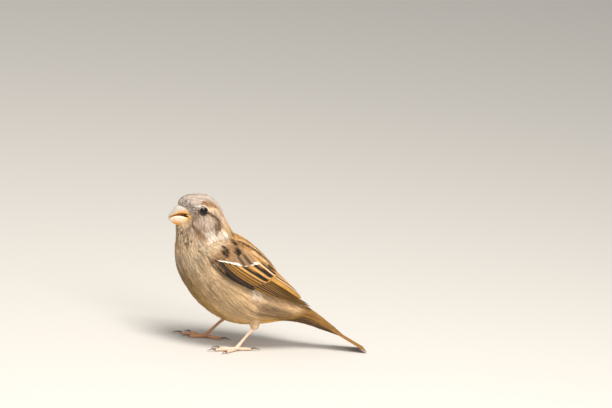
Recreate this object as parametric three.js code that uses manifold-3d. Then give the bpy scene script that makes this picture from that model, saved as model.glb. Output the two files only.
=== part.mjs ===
// A life-size female house sparrow, standing with its wings folded and its bill a little open.
// Millimetres, +Z up. The bird faces -Y and its left side is +X. The floor is Z = 0.
import * as THREE from "three";
import { LoftGeometry } from "three/addons/geometries/LoftGeometry.js";
import { mergeVertices } from "three/addons/utils/BufferGeometryUtils.js";
import Module from "manifold-3d";

const wasm = await Module();
wasm.setup();

// ---------------------------------------------------------------- driving dimensions

const GAP = 0.3; // clear distance between neighbouring pieces
const HEAD_TURN = THREE.MathUtils.degToRad(-8); // the head looks a little to the bird's right
const HEAD_PIVOT_Y = -18; // the upright axis that the head turns about

// Cross-sections of the feathered body from the bill back to the tail coverts. Each ring hangs
// between a point of the back line and a point of the belly line, as [y, z] in the middle plane.
// widest is the height of the ring's widest point, 0 at the belly and 1 at the back, and bow is how
// far back the ring's sides sweep. The first rows are drawn with the head looking straight ahead.
const BODY = [
  { back: [-38.5, 82.0], belly: [-38.3, 70.6], halfWidth: 4.6, widest: 0.5, bow: 6.2 }, // bill base
  { back: [-38.7, 84.2], belly: [-38.9, 69.2], halfWidth: 6.4, widest: 0.5, bow: 7.8 }, // forehead edge
  { back: [-37.2, 86.6], belly: [-38.7, 67.0], halfWidth: 8.2, widest: 0.5, bow: 7.8 }, // forehead
  { back: [-33.8, 88.5], belly: [-38.3, 64.4], halfWidth: 9.5, widest: 0.52, bow: 6.2 }, // fore crown
  { back: [-28.0, 89.6], belly: [-38.1, 61.6], halfWidth: 10.3, widest: 0.52, bow: 4.2 }, // crown
  { back: [-22.0, 89.6], belly: [-38.0, 58.6], halfWidth: 10.9, widest: 0.5, bow: 3.0 }, // hind crown
  { back: [-16.6, 86.5], belly: [-37.9, 55.4], halfWidth: 11.4, widest: 0.46, bow: 1.8 }, // nape
  { back: [-12.2, 81.6], belly: [-37.5, 51.8], halfWidth: 12.0, widest: 0.43, bow: 0.6 }, // upper neck
  { back: [-9.0, 75.8], belly: [-36.6, 47.6], halfWidth: 13.6, widest: 0.43, bow: 0 }, // neck
  { back: [-4.6, 69.4], belly: [-34.9, 42.8], halfWidth: 16.0, widest: 0.44, bow: 0 }, // shoulders
  { back: [2.0, 63.4], belly: [-31.6, 37.0], halfWidth: 18.6, widest: 0.46, bow: 0 }, // mantle
  { back: [9.6, 58.2], belly: [-26.8, 30.8], halfWidth: 20.4, widest: 0.48, bow: 0 }, // breast
  { back: [18.0, 51.0], belly: [-20.4, 24.4], halfWidth: 20.8, widest: 0.48, bow: 0 }, // lower breast
  { back: [26.4, 43.4], belly: [-12.4, 18.8], halfWidth: 19.8, widest: 0.46, bow: 0 }, // belly
  { back: [33.4, 37.0], belly: [-3.2, 14.9], halfWidth: 17.4, widest: 0.45, bow: 0 }, // thighs
  { back: [39.4, 31.8], belly: [7.4, 13.3], halfWidth: 14.0, widest: 0.47, bow: 0 }, // rear belly
  { back: [44.6, 27.2], belly: [18.4, 14.5], halfWidth: 11.0, widest: 0.5, bow: 0 }, // vent
  { back: [49.0, 24.2], belly: [28.4, 16.3], halfWidth: 8.8, widest: 0.5, bow: 0 }, // rump
  { back: [53.6, 21.4], belly: [38.0, 16.2], halfWidth: 7.1, widest: 0.5, bow: 0 }, // tail coverts
  { back: [58.6, 18.0], belly: [47.4, 14.6], halfWidth: 5.9, widest: 0.5, bow: 0 },
  { back: [63.6, 14.4], belly: [56.0, 12.2], halfWidth: 5.0, widest: 0.5, bow: 0 }, // covert tips
];
const BODY_ROUNDNESS = 2.15; // superellipse power of each ring; 2 is an ellipse
const BODY_AROUND = 20;
const BODY_ALONG = 26;

// Plane cuts that part the body, each through a back point and a belly point of the middle plane.
const CUTS = {
  neckTop: { back: [-9.0, 80.0], belly: [-40.0, 62.0] },
  neckBase: { back: [-1.0, 69.0], belly: [-38.0, 44.0] },
  rump: { back: [36.0, 38.0], belly: [14.0, 10.0] },
};

const EYE = { x: 7.1, y: -25.2, z: 80.8, radius: 3.2 };

// Bill outline in the middle plane, from deep in the face to the tip, as [y, z].
const UPPER_BILL = {
  ridge: [[-30.6, 83.0], [-35.2, 83.2], [-38.7, 81.4], [-41.0, 78.2], [-42.7, 75.6], [-43.4, 74.2]],
  edge: [[-30.0, 76.4], [-33.4, 77.6], [-36.8, 77.9], [-39.6, 77.1], [-41.8, 75.6], [-43.2, 74.0]],
  halfWidth: [5.8, 5.1, 4.1, 2.8, 1.5, 0.35],
};
const LOWER_BILL = {
  edge: [[-30.0, 74.9], [-33.2, 75.4], [-36.6, 75.9], [-39.6, 75.4], [-41.9, 74.1], [-43.4, 72.6]],
  keel: [[-30.4, 70.6], [-33.4, 69.7], [-36.6, 69.8], [-39.2, 70.4], [-41.6, 71.2], [-43.2, 72.3]],
  halfWidth: [5.6, 4.9, 3.8, 2.7, 1.4, 0.35],
};
const TONGUE = { root: [0, -32.0, 76.2], tip: [0, -39.2, 76.5], halfWidth: 1.7, thickness: 0.7 };
const MOUTH = { corner: [-30.6, 75.7], height: 1.2, halfWidth: 6.2 }; // notch at the corners of the mouth

// The folded left wing lies on a smooth sheet, drawn through three curves from the shoulder to the
// wing tip: the upper edge along the back, the middle and the lower edge along the flank.
const WING_UPPER = [
  [4.4, -1.5, 64.6], [6.2, 7.5, 58.6], [6.4, 17.5, 50.6],
  [5.2, 27.5, 42.0], [3.6, 37.5, 33.8], [1.6, 47.4, 26.4],
];
const WING_MIDDLE = [
  [12.4, -10.0, 60.8], [15.8, -0.5, 54.8], [15.6, 10.0, 48.0],
  [12.0, 22.0, 40.6], [7.2, 35.0, 33.0], [2.6, 47.8, 26.0],
];
const WING_LOWER = [
  [15.8, -17.6, 51.8], [18.4, -8.8, 45.4], [18.6, 2.0, 40.2],
  [15.4, 14.0, 35.6], [9.8, 28.0, 30.6], [3.2, 47.6, 25.4],
];
const WING_LENGTH = 70; // rough size of the sheet, for turning millimetres into shares of t and q
const WING_WIDTH = 22;
const WING_FACES = new THREE.Vector3(0.6, 0.4, 0.7); // the way the left wing roughly faces
// The stretch of sheet where the body is cut back: where it starts on the back and on the flank, where
// it ends, and how far down the flank it reaches at its start and at its end.
const WING_BED = { front: [-0.02, -0.1], end: 1.08, low: [1.13, 1.0], height: 9 };
const BED_ROWS = 9;
const VANE = 0.5; // thickness of a flight feather

// Feather groups of the left wing, from the lowest layer to the top one. Along the sheet, t runs
// from 0 at the shoulder to 1 at the wing tip; across it, q runs from 0 on the back to 1 on the flank.
// Each group's root line and tip line list [t, q] from its lowest feather to its highest, lift is
// its height over the sheet at the roots and at the tips, and round is how far its tips are rounded.
const WING_GROUPS = [
  { name: "primaries", count: 6, lift: [0.35, 0.35], step: 0.3, round: 0.08, stations: 4,
    root: [[0.53, 1.0], [0.42, 0.80], [0.38, 0.48]], tip: [[0.90, 0.94], [1.0, 0.62], [0.76, 0.40]] },
  { name: "primary_coverts", count: 3, lift: [0.35, 0.35], step: 0.3, round: 0.08, stations: 3,
    root: [[-0.05, 1.05], [-0.04, 0.90]], tip: [[0.50, 1.02], [0.38, 0.90]] },
  { name: "secondaries", count: 6, lift: [1.5, 1.5], step: 0.3, round: 0.08, stations: 3,
    root: [[0.40, 0.92], [0.40, 0.44]], tip: [[0.70, 0.97], [0.76, 0.70], [0.76, 0.44]] },
  { name: "tertials", count: 3, lift: [1.5, 1.5], step: 0.4, round: 0.14, stations: 3,
    root: [[0.46, 0.42], [0.45, 0.04]], tip: [[0.84, 0.40], [0.80, 0.22], [0.62, 0.02]] },
  { name: "greater_coverts", count: 7, lift: [2.3, 3.2], step: 0.4, round: 0.1, stations: 3,
    root: [[0.02, 0.94], [0.14, 0.70], [0.30, 0.18]], tip: [[0.42, 0.99], [0.53, 0.66], [0.55, 0.16]] },
  { name: "median_coverts", count: 6, lift: [2.4, 4.0], step: 0.4, round: 0.2, stations: 3,
    root: [[-0.08, 0.86], [0.02, 0.60], [0.16, 0.22]], tip: [[0.02, 0.92], [0.16, 0.72], [0.35, 0.26]] },
];
const WING_PADS = [
  { name: "lesser_coverts", t: [-0.10, 0.12], q: [0.18, 0.94], skew: 0.12, base: 0.3, thickness: 4.8 },
  { name: "scapulars", t: [-0.04, 0.50], q: [-0.06, 0.32], skew: 0, base: 0.3, thickness: 4.0 },
];

// The tail is a nearly closed fan, its middle pair of feathers on top.
const TAIL = {
  count: 12, root: [0, 43.0, 24.4], tip: [0, 86.2, 1.5], sag: 0.4,
  rootWidth: 7.0, tipWidth: 15.0, step: 0.2, round: 0.03, notch: 1.6, stations: 3,
};

const LEGS = {
  left: {
    side: 1, hip: [8.0, 11.5, 26.0], knee: [9.8, 12.4, 19.5], heel: [11.4, 12.6, 13.6],
    foot: [14.4, 2.6, 1.9], turn: 14,
  },
  right: {
    side: -1, hip: [-8.0, 7.5, 26.0], knee: [-9.6, 5.0, 20.0], heel: [-11.0, 2.8, 14.8],
    foot: [-13.2, -8.8, 1.9], turn: 24,
  },
};
const THIGH_RADII = [6.4, 4.2, 2.3];
const TARSUS_RADII = [1.15, 0.95, 0.85, 0.9, 1.25];
const FOOT_RADIUS = 1.7;
const TOE_RADII = [1.0, 1.05, 0.9, 1.0, 0.85, 0.8]; // shares of the toe's radius, swelling at each pad
// Toe 1 is the hind toe; angle 0 points straight ahead and positive turns outwards.
const TOES = [
  { number: 1, angle: 178, length: 9.0, claw: 6.6, radius: 0.95 },
  { number: 2, angle: -28, length: 10.6, claw: 4.6, radius: 0.85 },
  { number: 3, angle: 0, length: 14.8, claw: 5.4, radius: 0.9 },
  { number: 4, angle: 27, length: 11.6, claw: 4.4, radius: 0.85 },
];

// ---------------------------------------------------------------- materials

const finish = (color, roughness) => new THREE.MeshStandardMaterial({ color, roughness, metalness: 0 });
const MATERIALS = {
  plumage: finish(0x9c8a72, 0.9),
  wingFeathers: finish(0x5f452e, 0.8),
  tailFeathers: finish(0x7a6450, 0.8),
  billUpper: finish(0xa79a98, 0.45),
  billLower: finish(0xd9a878, 0.45),
  tongue: finish(0xc98a80, 0.5),
  eye: finish(0x0c0806, 0.08),
  legs: finish(0xb98d78, 0.6),
  claws: finish(0x3a2c26, 0.5),
};

// ---------------------------------------------------------------- solids

const vec = (p) => new THREE.Vector3(...p);
const inPlane = ([y, z], x = 0) => new THREE.Vector3(x, y, z);
const mix = (a, b, k) => a + (b - a) * k;
const curve = (points) => new THREE.CatmullRomCurve3(points, false, "catmullrom", 0.5);

// A closed geometry as a manifold-3d solid, turned right side out if it is a mirrored copy.
function solidOf(geometry) {
  const bare = new THREE.BufferGeometry();
  bare.setAttribute("position", geometry.attributes.position);
  bare.setIndex(geometry.index);
  const merged = mergeVertices(bare, 1e-4);
  const corners = merged.index.array;
  const triangles = [];
  for (let i = 0; i < corners.length; i += 3) {
    const [a, b, c] = corners.subarray(i, i + 3);
    if (a !== b && b !== c && c !== a) triangles.push(a, b, c);
  }
  const build = (flat) => new wasm.Manifold(new wasm.Mesh({
    numProp: 3,
    vertProperties: new Float32Array(merged.attributes.position.array),
    triVerts: new Uint32Array(flat),
  }));
  const made = build(triangles);
  return made.volume() > 0 ? made : build(triangles.reverse());
}

// The solid between rings of equal point counts. Each end is closed by a strip across its ring, which
// joins the points from the ring's start to those from its end, two by two.
function loft(sections) {
  const walls = new LoftGeometry(sections);
  const ringLength = sections[0].length;
  const corners = [...walls.index.array];
  const closeEnd = (row, facesBack) => {
    const first = row * (ringLength + 1); // each row of the walls repeats its first point
    for (let i = 0, j = ringLength - 1; i < j; i++, j--) {
      const [a, b, c, d] = [i, i + 1, j - 1, j].map((k) => first + k);
      corners.push(...(facesBack ? [d, b, a, d, c, b] : [a, b, d, b, c, d]));
    }
  };
  closeEnd(0, true);
  closeEnd(sections.length - 1, false);
  walls.setIndex(corners);
  return solidOf(walls);
}

const without = (solid, cutters) => cutters.reduce((left, cutter) => left.subtract(cutter), solid);

// A solid's largest body, so that a cut leaves no loose sliver.
function mainBody(solid) {
  return solid.decompose().sort((a, b) => b.volume() - a.volume())[0];
}

// The side of a solid behind a plane through the X axis direction and two points of the middle plane.
function trimmed(solid, cut, towardsTail, clear) {
  const back = inPlane(cut.back);
  const belly = inPlane(cut.belly);
  const normal = new THREE.Vector3(1, 0, 0).cross(back.clone().sub(belly)).normalize();
  if (normal.y < 0) normal.negate();
  const facing = normal.clone().multiplyScalar(towardsTail ? 1 : -1);
  return solid.trimByPlane(facing.toArray(), facing.dot(back) + clear);
}

// Turns a point with the head: in full at weight 1, not at all at weight 0.
function turnedWithHead(point, weight = 1) {
  const pivot = new THREE.Vector3(0, HEAD_PIVOT_Y, 0);
  return point.sub(pivot).applyAxisAngle(new THREE.Vector3(0, 0, 1), HEAD_TURN * weight).add(pivot);
}

// ---------------------------------------------------------------- body

const backLine = curve(BODY.map((s) => inPlane(s.back)));
const bellyLine = curve(BODY.map((s) => inPlane(s.belly)));
const widthLine = curve(BODY.map((s) => new THREE.Vector3(s.halfWidth, s.widest, s.bow)));
const LAST_HEAD_ROW = 6;
const FIRST_TRUNK_ROW = 9;

// One ring of the body: a superellipse in the plane between its back and belly points.
function bodyRing(u, around = BODY_AROUND) {
  const back = backLine.getPoint(u);
  const belly = bellyLine.getPoint(u);
  const { x: halfWidth, y: widest, z: bow } = widthLine.getPoint(u);
  const middle = belly.clone().lerp(back, widest);
  const row = u * (BODY.length - 1);
  const turn = 1 - THREE.MathUtils.smoothstep(row, LAST_HEAD_ROW, FIRST_TRUNK_ROW);
  const power = 2 / BODY_ROUNDNESS;
  return Array.from({ length: around }, (_, i) => {
    const angle = (i / around) * 2 * Math.PI;
    const across = Math.sign(Math.sin(angle)) * Math.abs(Math.sin(angle)) ** power;
    const up = Math.abs(Math.cos(angle)) ** power;
    const point = middle.clone().lerp(Math.cos(angle) > 0 ? back : belly, up);
    point.x = halfWidth * across;
    point.y += bow * across ** 2;
    return turnedWithHead(point, turn);
  });
}

function wholeBody() {
  return loft(Array.from({ length: BODY_ALONG + 1 }, (_, i) => bodyRing(i / BODY_ALONG)));
}

// ---------------------------------------------------------------- bill, tongue and eyes

// A mandible: rings with a rounded roof over a flat floor. roof is the ridge or the keel line.
function mandible(roof, edge, halfWidths, grow = 0) {
  const steps = 6;
  const roofLine = curve(roof.map((p) => inPlane(p)));
  const edgeLine = curve(edge.map((p) => inPlane(p)));
  const widths = curve(halfWidths.map((w) => new THREE.Vector3(w, 0, 0)));
  const arc = 6;
  const rings = Array.from({ length: steps + 1 }, (_, i) => {
    const u = i / steps;
    const top = roofLine.getPoint(u);
    const rim = edgeLine.getPoint(u);
    const outwards = top.clone().sub(rim).normalize().multiplyScalar(grow);
    top.add(outwards);
    rim.sub(outwards);
    const half = widths.getPoint(u).x + grow;
    return Array.from({ length: arc }, (_, j) => {
      const angle = (j / (arc - 1)) * Math.PI;
      const point = rim.clone().lerp(top, Math.sin(angle) ** 0.8);
      point.x = half * Math.cos(angle);
      point.y += mix(grow, -grow, u);
      return turnedWithHead(point);
    });
  });
  return loft(rings);
}

const upperBill = (grow) => mandible(UPPER_BILL.ridge, UPPER_BILL.edge, UPPER_BILL.halfWidth, grow);
const lowerBill = (grow) => mandible(LOWER_BILL.keel, LOWER_BILL.edge, LOWER_BILL.halfWidth, grow);

function tongue(grow = 0) {
  const steps = 3;
  const root = vec(TONGUE.root);
  const tip = vec(TONGUE.tip);
  const overrun = grow / root.distanceTo(tip);
  const rings = Array.from({ length: steps + 1 }, (_, i) => {
    const v = i / steps;
    const centre = root.clone().lerp(tip, mix(-overrun, 1 + overrun, v));
    const half = TONGUE.halfWidth * mix(1, 0.3, v ** 2) + grow;
    return Array.from({ length: 6 }, (_, j) => {
      const angle = (j / 6) * 2 * Math.PI;
      const rise = (TONGUE.thickness / 2 + grow) * Math.sin(angle);
      return turnedWithHead(centre.clone().add(new THREE.Vector3(half * Math.cos(angle), 0, rise)));
    });
  });
  return loft(rings);
}

// The open wedge between the mandibles, wide enough to reach out through both cheeks.
function mouthNotch() {
  const [y, z] = MOUTH.corner;
  const outline = [[y + 0.6, z], [-40, z + MOUTH.height + 1], [-40, z - MOUTH.height]];
  const side = (x) => outline.map((p) => turnedWithHead(inPlane(p, x)));
  return loft([side(-MOUTH.halfWidth), side(MOUTH.halfWidth)]);
}

function eyeball(side, grow = 0) {
  const centre = turnedWithHead(new THREE.Vector3(side * EYE.x, EYE.y, EYE.z));
  const ball = new THREE.SphereGeometry(EYE.radius + grow, 12, 9);
  return solidOf(ball.translate(...centre));
}

// ---------------------------------------------------------------- wings

const upperEdge = curve(WING_UPPER.map(vec));
const middleLine = curve(WING_MIDDLE.map(vec));
const lowerEdge = curve(WING_LOWER.map(vec));

// A point of the left wing's sheet: a parabola across through the three curves, carried on
// straight past the sheet's two ends.
function sheetPoint(t, q) {
  const at = (line) => {
    const inside = Math.min(Math.max(t, 0), 1);
    const slope = line.getPoint(t < 0 ? 0.02 : 1).sub(line.getPoint(t < 0 ? 0 : 0.98)).multiplyScalar(50);
    return line.getPoint(inside).addScaledVector(slope, t - inside);
  };
  const share = [2 * (q - 0.5) * (q - 1), 4 * q * (1 - q), 2 * q * (q - 0.5)];
  return [upperEdge, middleLine, lowerEdge].reduce(
    (sum, line, i) => sum.addScaledVector(at(line), share[i]), new THREE.Vector3());
}

// Outward unit normal of the sheet.
function sheetNormal(t, q) {
  const step = 0.01;
  const along = sheetPoint(t + step, q).sub(sheetPoint(t - step, q));
  const across = sheetPoint(t, q + step).sub(sheetPoint(t, q - step));
  const normal = across.cross(along).normalize();
  return normal.dot(WING_FACES) < 0 ? normal.negate() : normal;
}

// A row of overlapping feathers as one pleated sheet. place(k, v, rise) gives the point at k across
// the row, v along the feathers and rise above the row's base; profile(i, c) is feather i's height at c
// across its own width. The tips are rounded by the share round.
function featherSheet({ place, profile, count, round, stations, thickness = VANE }) {
  const columns = [];
  for (let i = 0; i < count; i++) {
    for (const c of [0.04, 0.5, 0.96]) {
      const length = 1 - round * (2 * c - 1) ** 2;
      const row = (height) => Array.from({ length: stations },
        (_, j) => place((i + c) / count, (length * j) / (stations - 1), height));
      columns.push([...row(profile(i, c) + thickness), ...row(profile(i, c)).reverse()]);
    }
  }
  return loft(columns);
}

const mirrored = (side) => new THREE.Matrix4().makeScale(side, 1, 1).elements;
const forSide = (solid, side) => (side > 0 ? solid : solid.transform(mirrored(side)));

// One group of wing feathers on the left wing, each overlapping the one below it.
function wingGroup(group) {
  const rootLine = curve(group.root.map((p) => new THREE.Vector3(...p, 0)));
  const tipLine = curve(group.tip.map((p) => new THREE.Vector3(...p, 0)));
  const place = (k, v, rise) => {
    const { x: t, y: q } = rootLine.getPoint(k).lerp(tipLine.getPoint(k), v);
    return sheetPoint(t, q).addScaledVector(sheetNormal(t, q), mix(...group.lift, v) + rise);
  };
  return featherSheet({ ...group, place, profile: (i, c) => group.step * c });
}

// A rounded pad of small feathers on the sheet, thick in the middle and thin at its rim.
function wingPad(pad, grow = 0) {
  const sides = [-1, -0.6, 0, 0.6, 1];
  const wider = ([low, high], size) => [low - grow / size, high + grow / size];
  const alongRange = wider(pad.t, WING_LENGTH);
  const acrossRange = wider(pad.q, WING_WIDTH);
  const rings = Array.from({ length: 8 }, (_, i) => {
    const along = -Math.cos((i / 7) * Math.PI) * 0.985;
    const reach = Math.sqrt(1 - along ** 2);
    const place = (side, isTop) => {
      const q = mix(...acrossRange, (side * reach + 1) / 2);
      const t = mix(...alongRange, (along + 1) / 2) + pad.skew * (0.5 - q);
      const dome = pad.thickness * Math.sqrt(Math.max(0.02, 1 - (side * reach) ** 2 - along ** 2 * 0.9));
      const rise = isTop ? pad.base + dome + grow : pad.base - grow;
      return sheetPoint(t, q).addScaledVector(sheetNormal(t, q), rise);
    };
    const row = (isTop) => sides.map((side) => place(side, isTop));
    return [...row(true), ...row(false).reverse()];
  });
  return loft(rings);
}

// Everything outside the left wing's sheet, which is cut from the body to bed the wing.
function wingBed() {
  const rings = Array.from({ length: BED_ROWS }, (_, i) => {
    const along = i / (BED_ROWS - 1);
    const row = (rise) => Array.from({ length: 5 }, (_, j) => {
      const q = (mix(...WING_BED.low, along) * j) / 4;
      const t = mix(mix(...WING_BED.front, q), WING_BED.end, along);
      return sheetPoint(t, q).addScaledVector(sheetNormal(t, q), rise);
    });
    return [...row(WING_BED.height), ...row(-GAP).reverse()];
  });
  return loft(rings);
}

// ---------------------------------------------------------------- tail

const tailRoot = vec(TAIL.root);
const tailTip = vec(TAIL.tip);
const tailUp = tailTip.clone().sub(tailRoot).cross(new THREE.Vector3(-1, 0, 0)).normalize();

// A point of the tail: k across the fan from right to left, v along it and rise above its top surface.
function tailPoint(k, v, rise) {
  const side = 2 * k - 1;
  const length = tailRoot.distanceTo(tailTip);
  const reach = v * (1 - (TAIL.notch * (1 - Math.abs(side))) / length);
  const point = tailRoot.clone().lerp(tailTip, reach);
  point.x = (side * mix(TAIL.rootWidth, TAIL.tipWidth, v)) / 2;
  return point.addScaledVector(tailUp, rise - TAIL.sag * Math.sin(v * Math.PI));
}

// Feathers lie lower the further they are from the middle pair.
const tailLayer = (i) => Math.abs(i - (TAIL.count - 1) / 2) - 0.5;

const tailFan = () => featherSheet({
  ...TAIL, place: tailPoint, profile: (i) => -VANE - tailLayer(i) * TAIL.step,
});

// The slot in the body that holds the tail: one wide plate round the whole fan.
function tailSlot() {
  const depth = VANE + tailLayer(0) * TAIL.step + 2.4 * GAP;
  const widen = (k) => mix(-0.1, 1.1, k);
  const place = (k, v, rise) => tailPoint(widen(k), mix(-0.01, 1.02, v), rise);
  return featherSheet({ ...TAIL, place, profile: () => GAP - depth, count: 1, round: 0, thickness: depth });
}

// ---------------------------------------------------------------- legs

// A round-sectioned limb along a curve, with radii spread evenly from its start to its end.
function limb(points, radii, { steps = 4, around = 6, grow = 0, flatten = 1 } = {}) {
  const line = curve(points.map((p) => (p.isVector3 ? p : vec(p))));
  const sizes = curve(radii.map((r) => new THREE.Vector3(r, 0, 0)));
  const sideways = new THREE.Vector3(1, 0, 0);
  const rings = Array.from({ length: steps + 1 }, (_, i) => {
    const u = i / steps;
    const along = line.getTangent(u);
    const centre = line.getPoint(u).addScaledVector(along, mix(-grow, grow, u));
    const across = sideways.clone().addScaledVector(along, -along.x).normalize();
    if (Math.abs(along.x) > 0.9) across.set(0, 1, 0).addScaledVector(along, -along.y).normalize();
    const up = along.clone().cross(across);
    const radius = sizes.getPoint(u).x + grow;
    return Array.from({ length: around }, (_, j) => {
      const angle = ((j + 0.5) / around) * 2 * Math.PI;
      return centre.clone().addScaledVector(across, radius * flatten * Math.cos(angle))
        .addScaledVector(up, radius * Math.sin(angle));
    });
  });
  return loft(rings);
}

const aboveFloor = (solid) => solid.trimByPlane([0, 0, 1], 0);
const thigh = (leg, grow = 0) => limb([leg.hip, leg.knee, leg.heel], THIGH_RADII, { around: 10, grow });

// The bare shank, ending in the ball of the foot.
function tarsus(leg, grow = 0) {
  const heel = vec(leg.heel);
  const foot = vec(leg.foot);
  const bulge = heel.clone().lerp(foot, 0.5).add(new THREE.Vector3(0, 0.5, 0));
  const ball = new THREE.SphereGeometry(FOOT_RADIUS + grow, 8, 6);
  ball.translate(foot.x, foot.y, FOOT_RADIUS - 0.2);
  const shank = limb([heel, bulge, foot], TARSUS_RADII, { steps: 4, grow });
  return aboveFloor(shank.add(solidOf(ball)));
}

// A toe and its claw lie along the floor, away from the ball of the foot.
function toeLine(leg, toe) {
  const angle = THREE.MathUtils.degToRad(leg.side * (leg.turn + toe.angle));
  const ahead = new THREE.Vector3(Math.sin(angle), -Math.cos(angle), 0);
  const foot = vec(leg.foot);
  const on = (distance, height) => new THREE.Vector3(foot.x, foot.y, height).addScaledVector(ahead, distance);
  return on;
}

// Each toe's underside dips just under the floor, so that trimming leaves its pads flat.
function toeSolid(leg, toe, grow = 0) {
  const on = toeLine(leg, toe);
  const low = toe.radius - 0.08;
  const profile = [[0, low + 0.5], [0.35, low], [0.7, low], [1, low - 0.1]];
  const points = profile.map(([v, height]) => on(v * toe.length, height));
  return aboveFloor(limb(points, TOE_RADII.map((share) => share * toe.radius), { grow }));
}

function clawSolid(leg, toe) {
  const on = toeLine(leg, toe);
  const start = toe.length + GAP;
  const points = [on(start, 0.95), on(start + toe.claw * 0.45, 1.35), on(start + toe.claw, 0.3)];
  return limb(points, [0.55, 0.45, 0.28, 0.14], { steps: 3, around: 4, flatten: 0.75 });
}

// ---------------------------------------------------------------- the whole bird

const bird = new THREE.Group();

// Adds a solid to the bird as a named mesh.
function addPiece(name, solid, material) {
  const { numProp, numVert, vertProperties, triVerts } = mainBody(solid).getMesh();
  const positions = new Float32Array(numVert * 3);
  for (let i = 0; i < numVert; i++) {
    positions.set(vertProperties.subarray(i * numProp, i * numProp + 3), i * 3);
  }
  const geometry = new THREE.BufferGeometry();
  geometry.setAttribute("position", new THREE.BufferAttribute(positions, 3));
  geometry.setIndex(new THREE.BufferAttribute(new Uint32Array(triVerts), 1));
  geometry.computeVertexNormals();
  const mesh = new THREE.Mesh(geometry, material);
  mesh.name = name;
  bird.add(mesh);
}

// The pads take their room from the feather groups under them, and the scapulars from the lesser coverts.
function addWings() {
  const [lesserCoverts, scapulars] = WING_PADS;
  const clearance = wingPad(lesserCoverts, GAP).add(wingPad(scapulars, GAP));
  const pieces = [
    ...WING_GROUPS.map((group) => [group.name, wingGroup(group).subtract(clearance)]),
    [lesserCoverts.name, wingPad(lesserCoverts).subtract(wingPad(scapulars, GAP))],
    [scapulars.name, wingPad(scapulars)],
  ];
  for (const [name, left] of pieces) {
    addPiece(`wing_left_${name}`, left, MATERIALS.wingFeathers);
    addPiece(`wing_right_${name}`, forSide(left, -1), MATERIALS.wingFeathers);
  }
}

function addLegs() {
  for (const [label, leg] of Object.entries(LEGS)) {
    addPiece(`thigh_${label}`, thigh(leg).subtract(tarsus(leg, GAP)), MATERIALS.plumage);
    addPiece(`tarsus_${label}`, tarsus(leg), MATERIALS.legs);
    for (const toe of TOES) {
      const earlier = TOES.filter((other) => other.number < toe.number);
      const neighbours = [tarsus(leg, GAP), ...earlier.map((other) => toeSolid(leg, other, GAP))];
      addPiece(`toe_${label}_${toe.number}`, without(toeSolid(leg, toe), neighbours), MATERIALS.legs);
      addPiece(`claw_${label}_${toe.number}`, clawSolid(leg, toe), MATERIALS.claws);
    }
  }
}

function addBody() {
  const bed = WING_PADS.reduce((solid, pad) => solid.add(wingPad(pad, GAP)), wingBed());
  const beds = [bed, forSide(bed, -1)];
  const thighs = Object.values(LEGS).map((leg) => thigh(leg, GAP));
  const shanks = Object.values(LEGS).map((leg) => tarsus(leg, GAP));
  const body = without(wholeBody(), [...beds, ...thighs, ...shanks]);
  const half = GAP / 2;

  const face = [upperBill(GAP), lowerBill(GAP), mouthNotch(), tongue(GAP), eyeball(1, GAP), eyeball(-1, GAP)];
  const infront = (solid, cut) => trimmed(solid, cut, false, half);
  const behind = (solid, cut) => trimmed(solid, cut, true, half);
  addPiece("head", without(infront(body, CUTS.neckTop), face), MATERIALS.plumage);
  addPiece("neck", infront(behind(body, CUTS.neckTop), CUTS.neckBase), MATERIALS.plumage);
  addPiece("trunk", infront(behind(body, CUTS.neckBase), CUTS.rump), MATERIALS.plumage);
  addPiece("rump", behind(body, CUTS.rump).subtract(tailSlot()), MATERIALS.plumage);
}

function addFace() {
  addPiece("bill_upper", upperBill(0), MATERIALS.billUpper);
  addPiece("bill_lower", lowerBill(0), MATERIALS.billLower);
  addPiece("tongue", without(tongue(), [upperBill(GAP), lowerBill(GAP)]), MATERIALS.tongue);
  addPiece("eye_left", eyeball(1), MATERIALS.eye);
  addPiece("eye_right", eyeball(-1), MATERIALS.eye);
}

addBody();
addFace();
addWings();
addPiece("tail", aboveFloor(tailFan()), MATERIALS.tailFeathers);
addLegs();

// The frame's origin is on the floor, under the middle of the bird's box.
const box = new THREE.Box3().setFromObject(bird);
const centre = box.getCenter(new THREE.Vector3());
bird.position.set(-centre.x, -centre.y, -box.min.z);

const part = new THREE.Group();
part.add(bird);

export default part;
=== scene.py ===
"""The looks of a life-size female house sparrow, standing with its wings folded and its bill a little open.

Shapes are worked out in millimetres in the bird's own frame: it faces -Y, its left side is +X and the
floor is Z = 0. They move into the row's frame, in metres, when they become meshes. Colours are linear.
"""
import math

import bpy
import numpy as np
from mathutils import Matrix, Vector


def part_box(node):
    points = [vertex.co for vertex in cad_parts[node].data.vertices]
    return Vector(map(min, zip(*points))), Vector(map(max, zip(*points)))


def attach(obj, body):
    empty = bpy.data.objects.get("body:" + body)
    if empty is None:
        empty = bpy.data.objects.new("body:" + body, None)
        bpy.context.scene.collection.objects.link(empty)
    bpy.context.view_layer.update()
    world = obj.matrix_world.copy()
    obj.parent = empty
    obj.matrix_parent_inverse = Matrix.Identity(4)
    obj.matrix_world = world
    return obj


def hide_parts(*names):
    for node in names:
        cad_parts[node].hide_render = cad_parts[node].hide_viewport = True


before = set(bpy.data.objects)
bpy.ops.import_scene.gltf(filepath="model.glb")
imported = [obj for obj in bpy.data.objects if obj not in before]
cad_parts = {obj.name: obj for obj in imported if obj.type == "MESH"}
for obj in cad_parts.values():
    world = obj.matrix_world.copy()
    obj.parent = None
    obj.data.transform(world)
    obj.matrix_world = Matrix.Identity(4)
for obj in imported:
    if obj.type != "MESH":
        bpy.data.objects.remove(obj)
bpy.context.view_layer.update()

# ---------------------------------------------------------------- sizes of the bird, in millimetres

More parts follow.
